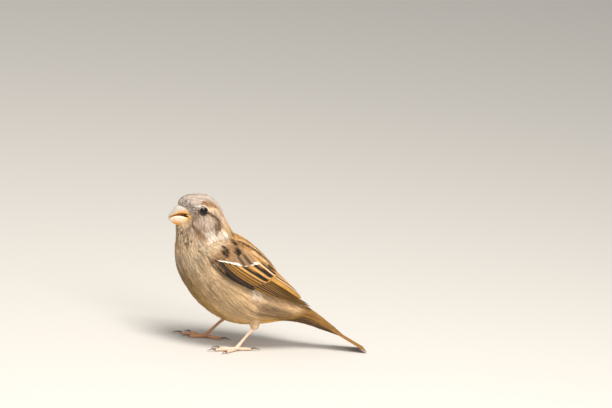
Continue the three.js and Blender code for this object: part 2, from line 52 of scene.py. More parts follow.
HEAD_TURN = math.radians(-8)  # the head looks a little to the bird's right
HEAD_PIVOT_Y = -18.0
LAST_HEAD_ROW, FIRST_TRUNK_ROW = 6, 9
BODY_ROUNDNESS = 2.15  # superellipse power of each ring
SWEEP_BELOW, SWEEP_ABOVE = 2.0, (2.1, 2.8)  # powers of a ring's sweep, above it at the face and further back
FACE_ENDS = (0.03, 0.16)  # share of the body's length over which the second power takes over

# Rings of the feathered body from the bill to the tail coverts: the back point's y and z, the belly
# point's y and z, half width, height of the widest point and how far back the sides sweep.
BODY_ROWS = np.array([
    [-39.0, 81.4, -38.3, 70.6, 5.2, 0.50, 6.3],  # bill base
    [-38.95, 84.0, -38.9, 69.2, 6.6, 0.50, 7.9],
    [-37.15, 86.65, -38.7, 67.0, 8.2, 0.50, 7.7],  # forehead
    [-33.8, 88.5, -38.3, 64.4, 9.5, 0.52, 6.2],
    [-28.0, 89.6, -38.1, 61.6, 10.3, 0.52, 4.2],  # crown
    [-22.0, 89.6, -38.0, 58.6, 10.9, 0.50, 3.0],
    [-16.6, 86.5, -37.9, 55.4, 11.4, 0.46, 1.8],  # nape
    [-12.2, 81.6, -37.5, 51.8, 12.0, 0.43, 0.6],
    [-9.0, 75.8, -36.6, 47.6, 13.6, 0.43, 0.0],  # neck
    [-4.6, 69.4, -34.9, 42.8, 16.0, 0.44, 0.0],
    [2.0, 63.4, -31.6, 37.0, 18.6, 0.46, 0.0],  # mantle and breast
    [9.6, 58.2, -26.8, 30.8, 20.4, 0.48, 0.0],
    [18.0, 51.0, -20.4, 24.4, 20.8, 0.48, 0.0],
    [26.4, 43.4, -12.4, 18.8, 19.8, 0.46, 0.0],  # belly
    [33.4, 37.0, -3.2, 14.9, 17.4, 0.45, 0.0],
    [39.4, 31.8, 7.4, 13.3, 14.0, 0.47, 0.0],
    [44.6, 27.2, 18.4, 14.5, 11.0, 0.50, 0.0],  # vent
    [49.0, 24.2, 28.4, 16.3, 8.8, 0.50, 0.0],
    [53.6, 21.4, 38.0, 16.2, 7.1, 0.50, 0.0],  # tail coverts
    [58.6, 18.0, 47.4, 14.6, 5.9, 0.50, 0.0],
    [63.6, 14.4, 56.0, 12.2, 5.0, 0.50, 0.0],
])
BODY_LAST_ROW = len(BODY_ROWS) - 1

EYE_CENTRE = np.array([7.1, -25.2, 80.8])  # the left eye, with the head straight ahead
EYE_SHIFT = np.array([0.0, 0.4, 0.15])  # the ball's middle from the solid's
EYE_AXES = np.array([[0.9798, 0.1736, 0.1],  # out
                     [-0.1745, 0.9847, 0.0],  # back
                     [-0.0985, -0.0174, 0.995]])  # up
EYE_RADIUS = 3.2
EYE_OPENING = (2.32, 2.0)  # half length and half height of the gap between the lids

UPPER_BILL = {
    "roof": [[-30.6, 82.4], [-35.4, 82.8], [-39.35, 81.0], [-41.2, 78.2], [-42.7, 75.9], [-43.5, 74.2]],
    "edge": [[-30.0, 76.4], [-33.4, 77.5], [-36.8, 77.5], [-39.6, 76.4], [-41.8, 75.0], [-43.2, 73.7]],
    "half_width": [5.4, 4.9, 3.9, 2.8, 1.55, 0.35],
}
LOWER_BILL = {
    "roof": [[-30.4, 69.8], [-33.4, 68.9], [-36.6, 69.1], [-39.2, 69.9], [-41.6, 71.0], [-43.2, 72.3]],
    "edge": [[-30.0, 74.9], [-33.2, 75.4], [-36.6, 75.9], [-39.6, 75.4], [-41.9, 74.1], [-43.4, 72.6]],
    "half_width": [5.1, 4.6, 3.65, 2.6, 1.4, 0.35],
}
TONGUE_ROOT, TONGUE_TIP = np.array([0, -32.0, 76.2]), np.array([0, -39.2, 76.5])

# The folded left wing lies on a sheet through three curves from the shoulder to the wing tip.
WING_UPPER = [[4.4, -1.5, 64.6], [6.2, 7.5, 58.6], [6.4, 17.5, 50.6],
              [5.2, 27.5, 42.0], [3.6, 37.5, 33.8], [1.6, 47.4, 26.4]]
WING_MIDDLE = [[12.4, -10.0, 60.8], [15.8, -0.5, 54.8], [15.6, 10.0, 48.0],
               [12.0, 22.0, 40.6], [7.2, 35.0, 33.0], [2.6, 47.8, 26.0]]
WING_LOWER = [[15.8, -17.6, 51.8], [18.4, -8.8, 45.4], [18.6, 2.0, 40.2],
              [15.4, 14.0, 35.6], [9.8, 28.0, 30.6], [3.2, 47.6, 25.4]]
WING_LENGTH, WING_WIDTH = 70, 22  # the sheet's size for each 1 of t and of q
WING_FACES = np.array([0.6, 0.4, 0.7])  # the way the left wing roughly faces

TAIL_ROOT, TAIL_TIP = np.array([0, 43.0, 24.4]), np.array([0, 86.2, 1.5])
TAIL_FEATHERS, TAIL_SAG, TAIL_NOTCH = 12, 0.4, 1.6
TAIL_ROOT_WIDTH, TAIL_TIP_WIDTH = 7.0, 13.0

LEGS = {
    "left": {"side": 1, "hip": [8.0, 11.5, 26.0], "knee": [9.8, 12.4, 19.5], "heel": [11.4, 12.6, 13.6],
             "foot": [14.4, 2.6, 1.9], "turn": 14},
    "right": {"side": -1, "hip": [-8.0, 7.5, 26.0], "knee": [-9.6, 5.0, 20.0], "heel": [-11.0, 2.8, 14.8],
              "foot": [-13.2, -8.8, 1.9], "turn": 24},
}
THIGH_RADII = [6.4, 4.2, 2.3]
TARSUS_RADII = [1.15, 0.95, 0.85, 0.9, 1.25]
FOOT_RADIUS = 1.7
TOE_RADII = [1.0, 1.05, 0.9, 1.0, 0.85, 0.8]  # shares of the toe's own radius
CLAW_RADII = [0.6, 0.46, 0.28, 0.07]
# Number, angle from straight ahead, length, length of the claw and radius.
TOES = [(1, 178, 9.0, 6.6, 0.95), (2, -28, 10.6, 4.6, 0.85), (3, 0, 14.8, 5.4, 0.9), (4, 27, 11.6, 4.4, 0.85)]

# ---------------------------------------------------------------- colours of the plumage and bare parts

CROWN = np.array([0.58, 0.48, 0.41])
CHEEK = np.array([0.46, 0.34, 0.26])
PALE_NECK = np.array([0.90, 0.80, 0.68])
CREAM = np.array([0.84, 0.57, 0.33])
EYE_STRIPE = np.array([0.15, 0.085, 0.04])
RUSTY = np.array([0.32, 0.155, 0.045])
THROAT = np.array([0.60, 0.43, 0.27])
BREAST = np.array([0.54, 0.41, 0.27])
BREAST_PAINTED_SHADE_AND_REFLECTION = np.array([0.30, 0.175, 0.055])  # painted shade with a painted yellow reflection of the surroundings, low on the breast and belly, between the wings
BELLY = np.array([0.78, 0.52, 0.235])
FLANK = np.array([0.54, 0.38, 0.23])
VENT = np.array([0.74, 0.40, 0.085])
RUMP = np.array([0.50, 0.33, 0.18])
MANTLE = np.array([0.66, 0.42, 0.19])
BLACK = np.array([0.030, 0.019, 0.013])
DARK_BROWN = np.array([0.056, 0.034, 0.011])
BUFF = np.array([0.45, 0.21, 0.042])
GOLDEN_BUFF = np.array([0.50, 0.26, 0.062])
ORANGE_BUFF = np.array([0.53, 0.225, 0.030])
PALE_ORANGE = np.array([0.62, 0.31, 0.060])
WHITE_BAR = np.array([0.94, 0.88, 0.78])
FRINGE_CREAM = np.array([0.80, 0.46, 0.15])
LESSER_BROWN = np.array([0.40, 0.235, 0.115])
TAN = np.array([0.54, 0.30, 0.11])
PALE_CHEEK = np.array([0.68, 0.55, 0.43])
BROW_PALE = np.array([0.82, 0.71, 0.59])
LORE_BROWN = np.array([0.26, 0.18, 0.12])
# Painted shade low on the flank, under the wing and beside the thigh.
FLANK_PAINTED_SHADE = np.array([0.20, 0.12, 0.06])
THIGH_PALE = np.array([0.84, 0.60, 0.38])
TAIL_PINK = np.array([0.30, 0.155, 0.045])
TAIL_BROWN = np.array([0.29, 0.15, 0.032])
TAIL_DARK = np.array([0.14, 0.08, 0.04])

# ---------------------------------------------------------------- numbers to shapes


def smoothstep(x, low, high):
    """0 below low, 1 above high and a smooth S between."""
    k = np.clip((x - low) / (high - low), 0, 1)
    return k * k * (3 - 2 * k)


def mix(a, b, k):
    """a at k = 0 and b at k = 1."""
    return a + (b - a) * k


def blend_colour(a, b, k):
    """Colour a where the mask k is 0 and colour b where it is 1."""
    return a + (b - a) * np.asarray(k)[..., None]


def spline(points, t):
    """Uniform Catmull-Rom curve through points at t from 0 to 1, carried on straight past its ends."""
    points = np.array(points, float)
    points = points[:, None] if points.ndim == 1 else points
    n = len(points) - 1
    t = np.asarray(t, float)
    inside = np.clip(t, 0, 1) * n
    i = np.minimum(np.floor(inside).astype(int), n - 1)
    f = (inside - i)[..., None]

    def at(k):
        before = np.where((k < 0)[..., None], 2 * points[0] - points[1], points[np.clip(k, 0, n)])
        return np.where((k > n)[..., None], 2 * points[n] - points[n - 1], before)

    p0, p1, p2, p3 = at(i - 1), at(i), at(i + 1), at(i + 2)
    v0, v1 = (p2 - p0) / 2, (p3 - p1) / 2
    curve = (2 * p1 - 2 * p2 + v0 + v1) * f ** 3 + (3 * p2 - 3 * p1 - 2 * v0 - v1) * f ** 2 + v0 * f + p1
    slope = np.where((t < 0)[..., None], points[1] - points[0], points[n] - points[n - 1]) * n
    return curve + slope * (t - np.clip(t, 0, 1))[..., None]


def turned_with_head(points, weight=1.0):
    """Turns points about the head's upright axis, in full where weight is 1."""
    angle = HEAD_TURN * np.asarray(weight)
    x, y = points[..., 0], points[..., 1] - HEAD_PIVOT_Y
    cos, sin = np.cos(angle), np.sin(angle)
    return np.stack([x * cos - y * sin, x * sin + y * cos + HEAD_PIVOT_Y, points[..., 2]], -1)


def unit(vectors):
    """Vectors scaled to length 1."""
    return vectors / np.maximum(np.linalg.norm(vectors, axis=-1, keepdims=True), 1e-9)


def body_ring(u, v):
    """Point of the feathered body, head straight ahead: u from bill to tail, v once around from the back.

    Each ring is a superellipse between its back and belly points: |sin|^p across and |cos|^p up or down.
    Its sides sweep back by the bow times a power of how far out they are. Above the middle the power is
    higher, and more so behind the face."""
    row = spline(BODY_ROWS, u)
    back_y, back_z, belly_y, belly_z, half_width, widest, bow = np.moveaxis(row, -1, 0)
    angle = 2 * np.pi * v
    power = 2 / BODY_ROUNDNESS
    across = np.sign(np.sin(angle)) * np.abs(np.sin(angle)) ** power
    up = np.abs(np.cos(angle)) ** power
    top = np.cos(angle) > 0
    middle_y, middle_z = mix(belly_y, back_y, widest), mix(belly_z, back_z, widest)
    sweep = np.where(top, mix(*SWEEP_ABOVE, smoothstep(u, *FACE_ENDS)), SWEEP_BELOW)
    y = mix(middle_y, np.where(top, back_y, belly_y), up) + bow * np.abs(across) ** sweep
    z = mix(middle_z, np.where(top, back_z, belly_z), up)
    return np.stack([half_width * across, y, z], -1)


def wing_sheet(t, q):
    """Left wing's sheet: a parabola across through the three curves. t runs from the shoulder to the tip
    and q from the back to the flank."""
    t, q = np.broadcast_arrays(np.asarray(t, float), np.asarray(q, float))
    shares = [2 * (q - 0.5) * (q - 1), 4 * q * (1 - q), 2 * q * (q - 0.5)]
    lines = [WING_UPPER, WING_MIDDLE, WING_LOWER]
    return sum(spline(line, t) * share[..., None] for line, share in zip(lines, shares))


def wing_normal(t, q):
    """Outward unit normal of the left wing's sheet, from small steps along and across it."""
    step = 0.01
    along = wing_sheet(t + step, q) - wing_sheet(t - step, q)
    across = wing_sheet(t, q + step) - wing_sheet(t, q - step)
    normal = unit(np.cross(across, along))
    return normal * np.where((normal @ WING_FACES) < 0, -1, 1)[..., None]


def on_wing(t, q, rise):
    """Point at a height over the left wing's sheet."""
    return wing_sheet(t, q) + wing_normal(t, q) * np.asarray(rise)[..., None]


class Surface:
    """A grid of points with u along the lie of the feathers and v around or across, both 0 to 1."""

    def __init__(self, points, wraps, outward=None):
        self.points = points
        self.wraps = wraps
        wide = np.concatenate([points[:, -1:], points, points[:, :1]], 1) if wraps else points
        along = np.gradient(points, axis=0) * (len(points) - 1)
        across = np.gradient(wide, axis=1)[:, 1:-1] * points.shape[1] if wraps \
            else np.gradient(points, axis=1) * (points.shape[1] - 1)
        self.normals = unit(np.cross(across, along))
        outward = points - points.mean(1, keepdims=True) if outward is None else outward
        self.flipped = (outward * self.normals).sum() < 0
        if self.flipped:
            self.normals = -self.normals
        self.speed_u = np.linalg.norm(along, axis=-1, keepdims=True)
        self.speed_v = np.linalg.norm(across, axis=-1, keepdims=True)

    def at(self, field, u, v):
        """Bilinear value of a field at u and v; past the last row it goes on in a straight line."""
        rows, columns = field.shape[:2]
        x = np.clip(u, -0.02, 1.2) * (rows - 1)
        i = np.clip(np.floor(x).astype(int), 0, rows - 2)
        y = (v % 1) * columns if self.wraps else np.clip(v, 0, 1) * (columns - 1)
        j = np.floor(y).astype(int)
        j = j % columns if self.wraps else np.clip(j, 0, columns - 2)
        k = (j + 1) % columns
        f, g = (x - i)[..., None], (y - np.floor(y))[..., None] if self.wraps else (y - j)[..., None]
        return mix(mix(field[i, j], field[i, k], g), mix(field[i + 1, j], field[i + 1, k], g), f)


def row_values(table, row):
    """Value at a body row, straight between the (row, value) pairs of a table."""
    rows, values = zip(*table)
    return np.interp(row, rows, values)


# Small feathers by body row, from the bill to the tail coverts.
FEATHER_LENGTH = [(0, 1.1), (1, 1.5), (2, 2.0), (3, 2.6), (5, 3.4), (7, 4.8), (9, 6.6), (12, 8.4), (15, 9.4),
                  (17, 12.0), (20, 13.0)]
FEATHER_WIDTH = [(0, 0.7), (2, 1.0), (4, 1.4), (6, 1.8), (8, 2.3), (10, 2.9), (13, 3.4), (16, 3.2), (20, 2.6)]
ROW_SPACING = [(0, 0.30), (2, 0.42), (5, 0.62), (8, 0.95), (12, 1.35), (16, 1.7), (20, 1.7)]
COLUMN_SPACING = [(0, 0.30), (2, 0.38), (5, 0.50), (8, 0.66), (12, 0.82), (16, 0.8), (20, 0.7)]
COAT_DEPTH = [(0, 0.12), (1, 0.35), (3, 0.8), (5, 1.0), (8, 1.5), (11, 1.9), (15, 1.9), (18, 1.0), (20, 0.5)]
COAT_INSET = [(0, 0.45), (1, 0.45), (3, 0.6), (10, 0.6), (13, 0.35), (16, 0.1), (20, 0.0)]

COAT_SEED, THIGH_SEED, WING_SEED, TAIL_SEED = 11, 23, 31, 41

# ---------------------------------------------------------------- the body's surface

GRID_ALONG, GRID_AROUND = 400, 256
WING_CLEARANCE = 0.8  # the coat lies this far under the wing
WING_RIM = (0.6, 4.0)  # the coat rises to its full height between these distances from the wing
WING_FRONT = (-0.085, 0.0)  # t where the breast stops lapping over the wing's front


def wing_height(points):
    """Height of points over the nearer wing's sheet, how far outside it they are, its normals there and the
    place t on it. The nearest of a net of sheet points gives the plane that each is measured from."""
    t, q = np.meshgrid(np.linspace(-0.1, 1.04, 58), np.linspace(0, 1.04, 24), indexing="ij")
    t, q = t.ravel(), q.ravel()
    net, normals = wing_sheet(t, q), wing_normal(t, q)
    folded = points.copy()
    folded[..., 0] = np.abs(folded[..., 0])
    flat = folded.reshape(-1, 3)
    nearest = np.concatenate([
        ((block[:, None] - net[None]) ** 2).sum(-1).argmin(1) for block in np.array_split(flat, 64)])
    away = flat - net[nearest]
    height = (away * normals[nearest]).sum(-1)
    aside = np.sqrt(np.maximum((away ** 2).sum(-1) - height ** 2, 0))
    shape = points.shape[:-1]
    return height.reshape(shape), aside.reshape(shape), normals[nearest].reshape(points.shape), \
        t[nearest].reshape(shape)


def body_surface():
    """The coat's outer surface: the body's rings, turned with the head and pressed in under the wings."""
    u, v = np.meshgrid(np.linspace(0, 1, GRID_ALONG), np.arange(GRID_AROUND) / GRID_AROUND, indexing="ij")
    raw = body_ring(u, v)
    row = u * BODY_LAST_ROW
    points = turned_with_head(raw, 1 - smoothstep(row, LAST_HEAD_ROW, FIRST_TRUNK_ROW))
    height, aside, normals, place = wing_height(points)
    behind = smoothstep(place, *WING_FRONT)
    covered = (1 - smoothstep(aside, *WING_RIM)) * behind
    press = np.maximum(height + WING_CLEARANCE, 0) * covered
    inwards = normals * np.where(points[..., :1] < 0, [-1, 1, 1], 1)
    surface = Surface(points - inwards * press[..., None], wraps=True)
    inset = row_values(COAT_INSET, row)
    surface.points = surface.points - surface.normals * inset[..., None]
    surface.covered = ((1 - smoothstep(aside, 0.2, 1.4)) * (height < 6) * behind)[..., None]
    return surface


# ---------------------------------------------------------------- markings


HASH_STEPS = (374761393, 668265263, 974634777, 1274126177)  # odd numbers that scatter the bits
WORD, HALF_WORD = 0xffffffff, 0xffff


def random_at(i, j, seed):
    """Repeatable random number from 0 to 1 for each pair of whole numbers."""
    a, b, c, d = HASH_STEPS
    n = (i.astype(np.int64) * a + j.astype(np.int64) * b + seed * c) & WORD
    n = ((n ^ (n >> 13)) * d) & WORD
    return ((n ^ (n >> 16)) & HALF_WORD) / HALF_WORD


def smooth_noise(x, y, repeat, seed):
    """Random numbers on whole x and y joined by smooth steps; x starts again after repeat."""
    i, j = np.floor(x), np.floor(y)
    f, g = smoothstep(x - i, 0, 1), smoothstep(y - j, 0, 1)
    i, j = i.astype(int), j.astype(int)
    near, far = i % repeat, (i + 1) % repeat
    low = mix(random_at(near, j, seed), random_at(far, j, seed), f)
    return mix(low, mix(random_at(near, j + 1, seed), random_at(far, j + 1, seed), f), g)


def combed(u, v):
    """Strands of down along the body, from -1 to 1: three sizes of noise drawn out along u."""
    wide = smooth_noise(v * 50, u * 9, 50, 1)
    middle = smooth_noise(v * 120, u * 18, 120, 2)
    fine = smooth_noise(v * 280, u * 34, 280, 3)
    return np.clip((0.3 * wide + 0.4 * middle + 0.4 * fine - 0.55) * 3.0, -1, 1)


def along_line(points, line, radius):
    """Mask round a curve through points: 1 on it and 0 beyond radius."""
    path = spline(line, np.linspace(0, 1, 16))
    gap = np.sqrt(((points[..., None, :] - path) ** 2).sum(-1)).min(-1)
    return 1 - smoothstep(gap, radius * 0.4, radius)


# Lines on the head and body in the bird's own frame, with the head straight ahead.
BROW_ARC = [[8.9, -27.8, 83.4], [8.7, -25.5, 84.2], [8.8, -23.4, 84.0]]
SUPERCILIUM = [[9.1, -22.8, 83.0], [8.4, -20.4, 83.2], [7.4, -17.8, 82.6], [6.9, -14.6, 80.9],
               [7.2, -12.6, 78.0], [7.8, -11.4, 75.0]]
CROWN_SIDE = [[7.8, -24.6, 85.8], [6.8, -20.3, 85.7], [5.2, -15.4, 84.0], [5.2, -12.2, 80.6]]
EYE_LINE = [[9.8, -22.2, 81.0], [9.3, -19.5, 79.7], [8.7, -16.4, 77.9], [8.8, -14.6, 75.6],
            [10.0, -14.6, 72.4]]
EAR_EDGE = [[10.1, -16.8, 74.4], [10.9, -16.2, 71.4], [11.4, -17.0, 69.4]]
LORE_LINE = [[9.6, -28.9, 80.4], [10.0, -28.3, 78.3], [10.3, -28.4, 76.0]]
MALAR_LINE = [[10.3, -29.8, 72.0], [11.1, -27.7, 70.5], [11.5, -26.3, 69.2]]
CHEEK_EDGE = [[11.6, -26.6, 67.7], [12.3, -23.1, 66.2]]
THROAT_PATCH = [[3.0, -38.0, 67.0], [5.6, -36.0, 65.6], [8.2, -33.7, 64.4], [9.8, -31.8, 62.8]]
FOREHEAD_SPOTS = [[2.6, -36.6, 85.0], [6.0, -33.2, 83.4], [8.3, -30.6, 81.4]]
# Line of the painted shade low on the flank, beside the thigh.
FLANK_PAINTED_SHADE_LINE = [[17.0, 13.5, 26], [14.5, 22, 24], [11.5, 30, 21]]
FLANK_PALE = [[19.6, 7.0, 36.0], [18.8, 12.0, 34.0]]
NECK_SIDE = [[12.3, -20.5, 66.6], [12.4, -16.5, 67.2], [11.4, -12.0, 67.6], [11.6, -9.0, 66.0]]
CHEEK_MIDDLE = [[10.6, -23.5, 76.6], [10.4, -20.4, 75.2]]

# Lines of the head in the order they are laid on: line, colour, radius and strength.
HEAD_LINES = [
    (BROW_ARC, BROW_PALE, 0.95, 1.0), (EYE_LINE, EYE_STRIPE, 1.5, 1.0), (EAR_EDGE, EYE_STRIPE, 1.6, 0.75),
    (SUPERCILIUM, CREAM, 1.35, 1.0), (LORE_LINE, LORE_BROWN, 1.5, 0.75), (MALAR_LINE, EYE_STRIPE, 1.5, 0.8),
    (CHEEK_EDGE, RUSTY, 2.2, 0.7),
]


def plumage(points, row, v):
    """Colour of the small feathers, the strength and colour of their dark centres, and how much they vary.

    points are on the body with the head straight ahead; v = 0 is the back and 0.5 the belly."""
    row = np.asarray(row)
    angle = np.abs(((v + 0.5) % 1) - 0.5) * 360
    under = smoothstep(angle, 64, 112)  # 0 on the back and 1 below
    near = np.abs(points * [1, 0, 0]) + points * [0, 1, 1]
    x, z = near[..., 0], near[..., 2]
    head = 1 - smoothstep(row, 7.5, 9.5)
    off_middle = smoothstep(x, 3.5, 6.0)

    def mark(colour, shade, mask, amount=1.0):
        return blend_colour(colour, shade, np.clip(mask * amount, 0, 1))

    upper = blend_colour(CROWN, MANTLE, smoothstep(row, 6.5, 9.0))
    upper = blend_colour(upper, RUMP, smoothstep(row, 12.0, 14.0))
    upper = blend_colour(upper, TAIL_PINK, smoothstep(row, 15.6, 17.0))
    lower = blend_colour(THROAT, BREAST, smoothstep(row, 5.0, 8.0))
    lower = blend_colour(lower, BELLY, smoothstep(row, 9.0, 12.0))
    lower = blend_colour(lower, VENT, smoothstep(row, 13.5, 16.5))
    # Painted shade and painted yellow reflected light on the lower side of the breast and belly.
    shade = smoothstep(row, 7.5, 9.8) * (1 - smoothstep(row, 13.0, 15.0)) * smoothstep(angle, 108, 155)
    lower = blend_colour(lower, BREAST_PAINTED_SHADE_AND_REFLECTION, shade * 0.7)
    colour = blend_colour(upper, lower, under)
    side = smoothstep(x, 11, 17) * (1 - head) * smoothstep(angle, 50, 80)
    colour = mark(colour, FLANK, side, 0.8)
    # Painted shade low on the flank, under the wing and beside the thigh.
    colour = mark(colour, FLANK_PAINTED_SHADE, along_line(near, FLANK_PAINTED_SHADE_LINE, 6.5), 0.7)
    colour = mark(colour, PALE_NECK, along_line(near, FLANK_PALE, 3.0), 0.42)
    band = smoothstep(row, 15.8, 17.4)
    colour = mark(colour, TAIL_DARK, band * smoothstep(angle, 66, 96))
    colour = mark(colour, VENT, band * smoothstep(angle, 150, 172))

    cheek = smoothstep(row, 1.5, 3.5) * (1 - smoothstep(row, 7, 8.5)) * smoothstep(x, 6.5, 8.5)
    cheek = cheek * (1 - smoothstep(z, 80.4, 82.5)) * smoothstep(z, 65, 69)
    colour = mark(colour, CHEEK, cheek)
    colour = mark(colour, PALE_CHEEK, along_line(near, CHEEK_MIDDLE, 3.6), 0.7)
    colour = mark(colour, PALE_NECK, along_line(near, NECK_SIDE, 5.0), 0.75)
    colour = mark(colour, RUSTY, along_line(near, CROWN_SIDE, 2.6) * off_middle, 0.85)
    for line, shade, radius, amount in HEAD_LINES:
        colour = mark(colour, shade, along_line(near, line, radius), amount)
    throat = along_line(near, THROAT_PATCH, 4.4)
    colour = mark(colour, THROAT * 0.9, throat)
    spots = along_line(near, FOREHEAD_SPOTS, 3.0)
    colour = mark(colour, CROWN * 0.95, spots, 0.8)

    back = smoothstep(row, 8.0, 9.4) * (1 - smoothstep(row, 12.5, 14)) * (1 - smoothstep(angle, 46, 62))
    chest = under * smoothstep(row, 6, 9) * (1 - smoothstep(row, 11, 13))
    streak = back * 0.95 + chest * 0.3 + (1 - under) * head * 0.2 + 0.1 + throat * 0.5 + spots * 0.5
    vary = 0.05 + 0.60 * throat + 0.80 * spots + 0.05 * chest + 0.07 * head
    return colour, np.clip(streak, 0, 1), blend_colour(colour * 0.42, BLACK, back), vary


# ---------------------------------------------------------------- meshes


def grid_faces(rows, columns, copies=1, wrap=False):
    """Quads of a grid of points, once for each copy; wrap joins the last column to the first."""
    i, j = np.meshgrid(np.arange(rows - 1), np.arange(columns if wrap else columns - 1), indexing="ij")
    k = (j + 1) % columns
    quads = np.stack([i * columns + j, i * columns + k, (i + 1) * columns + k, (i + 1) * columns + j], -1)
    shifts = np.arange(copies)[:, None, None] * rows * columns
    return (quads.reshape(1, -1, 4) + shifts).reshape(-1, 4)


def row_shift():
    """From the bird's own frame to the row's, in millimetres: where the left eye's solid lies."""
    low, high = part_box("eye_left")
    return np.array((low + high) / 2) / MM - turned_with_head(EYE_CENTRE)


MM = 0.001
ROW_SHIFT = row_shift()


class Piece:
    """Points, quads, colours and maps gathered until they become one mesh object."""

    def __init__(self, name, material, slot, replaces=()):
        self.name, self.material, self.slot, self.replaces = name, material, slot, replaces
        self.points, self.faces, self.tint, self.bake, self.vane = [], [], [], [], []
        self.count = 0

    def add(self, points, faces, tint, bake, vane=None, closed=True):
        """Adds points with one colour each; bake and vane are maps per point, or per corner for bake.

        The faces of a closed mesh are turned round where its volume comes out below zero."""
        points = np.asarray(points, float).reshape(-1, 3)
        n = len(points)
        per_corner = bake.shape[:-1] == faces.shape
        if closed:
            a, b, c, d = np.moveaxis(points[faces], 1, 0)
            if (a * (np.cross(b, c) + np.cross(c, d))).sum() < 0:
                faces = faces[:, ::-1]
                bake = bake[:, ::-1] if per_corner else bake
        self.points.append(points)
        self.faces.append(faces + self.count)
        self.tint.append(np.asarray(tint, float).reshape(-1, 3))
        self.bake.append(bake if per_corner else bake.reshape(-1, 2)[faces])
        vane = np.zeros((n, 2)) if vane is None else np.asarray(vane, float).reshape(-1, 2)
        self.vane.append(vane[faces])
        self.count += n

    def build(self):
        """Makes the mesh object, gives it its material, hangs it under the root's empty and hides the parts
        that it replaces.
        """
        points = (np.concatenate(self.points) + ROW_SHIFT) * MM
        faces = np.concatenate(self.faces)
        mesh = bpy.data.meshes.new(self.name)
        mesh.vertices.add(len(points))
        mesh.vertices.foreach_set("co", points.astype(np.float32).ravel())
        mesh.loops.add(faces.size)
        mesh.loops.foreach_set("vertex_index", faces.astype(np.int32).ravel())
        mesh.polygons.add(len(faces))
        mesh.polygons.foreach_set("loop_start", np.arange(0, faces.size, 4, dtype=np.int32))
        mesh.polygons.foreach_set("use_smooth", np.ones(len(faces), bool))
        for name, corners in (("OFBake", self.bake), ("vane", self.vane)):
            layer = mesh.uv_layers.new(name=name)
            layer.data.foreach_set("uv", np.concatenate(corners).astype(np.float32).ravel())
        tint = np.concatenate(self.tint)
        colour = mesh.color_attributes.new(name="tint", type="FLOAT_COLOR", domain="POINT")
        rgba = np.column_stack([tint, np.ones(len(tint))])
        colour.data.foreach_set("color", rgba.astype(np.float32).ravel())
        mesh.update(calc_edges=True)
        mesh.validate()
        mesh.materials.append(self.material)
        piece = bpy.data.objects.new(self.name, mesh)
        bpy.context.scene.collection.objects.link(piece)
        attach(piece, "root")
        if self.replaces:
            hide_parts(*self.replaces)


# ---------------------------------------------------------------- materials


def new_group(name, inputs, outputs):
    """An empty shader group with the named inputs and outputs, as (type, name, default)."""
    group = bpy.data.node_groups.new(name, "ShaderNodeTree")
    for kind, label, default in inputs:
        socket = group.interface.new_socket(label, in_out="INPUT", socket_type=kind)
        if default is not None:
            socket.default_value = default
    for kind, label in outputs:
        group.interface.new_socket(label, in_out="OUTPUT", socket_type=kind)
    return group, group.nodes.new("NodeGroupInput"), group.nodes.new("NodeGroupOutput")


def link(tree, start, end):
    """Joins an output socket to an input socket."""
    tree.links.new(start, end)


def math_node(tree, operation, a, b=None, clamp=False):
    """A Math node on sockets or numbers; returns its output."""
    node = tree.nodes.new("ShaderNodeMath")
    node.operation = operation
    node.use_clamp = clamp
    for socket, value in zip(node.inputs, (a, b)):
        if isinstance(value, (int, float)):
            socket.default_value = value
        elif value is not None:
            link(tree, value, socket)
    return node.outputs[0]


def noise_node(tree, vector, scale, detail=3.0, roughness=0.55):
    """A Noise node; its scale is a number or a socket. Returns its height."""
    node = tree.nodes.new("ShaderNodeTexNoise")
    if isinstance(scale, (int, float)):
        node.inputs["Scale"].default_value = scale
    else:
        link(tree, scale, node.inputs["Scale"])
    node.inputs["Detail"].default_value = detail
    node.inputs["Roughness"].default_value = roughness
    link(tree, vector, node.inputs["Vector"])
    return node.outputs["Fac"]


def scaled_colour(tree, colour, factor):
    """Colour times a factor socket."""
    node = tree.nodes.new("ShaderNodeVectorMath")
    node.operation = "SCALE"
    link(tree, colour, node.inputs[0])
    link(tree, factor, node.inputs["Scale"])
    return node.outputs[0]


def mottle_group():
    """Uneven colour: two sizes of noise on Object coordinates lighten and darken the colour given."""
    group, inside, out = new_group(
        "mottle",
        [("NodeSocketColor", "Color", (1, 1, 1, 1)), ("NodeSocketFloat", "Scale", 900.0),
         ("NodeSocketFloat", "Amount", 0.2)],
        [("NodeSocketColor", "Color"), ("NodeSocketFloat", "Height")])
    place = group.nodes.new("ShaderNodeTexCoord").outputs["Object"]
    fine = noise_node(group, place, inside.outputs["Scale"])
    coarse = noise_node(group, place, math_node(group, "MULTIPLY", inside.outputs["Scale"], 0.2))
    both = math_node(group, "ADD", fine, coarse)
    change = math_node(group, "MULTIPLY", math_node(group, "SUBTRACT", both, 1.0), inside.outputs["Amount"])
    factor = math_node(group, "ADD", math_node(group, "MULTIPLY", change, 2.0), 1.0)
    link(group, scaled_colour(group, inside.outputs["Color"], factor), out.inputs["Color"])
    link(group, fine, out.inputs["Height"])
    return group


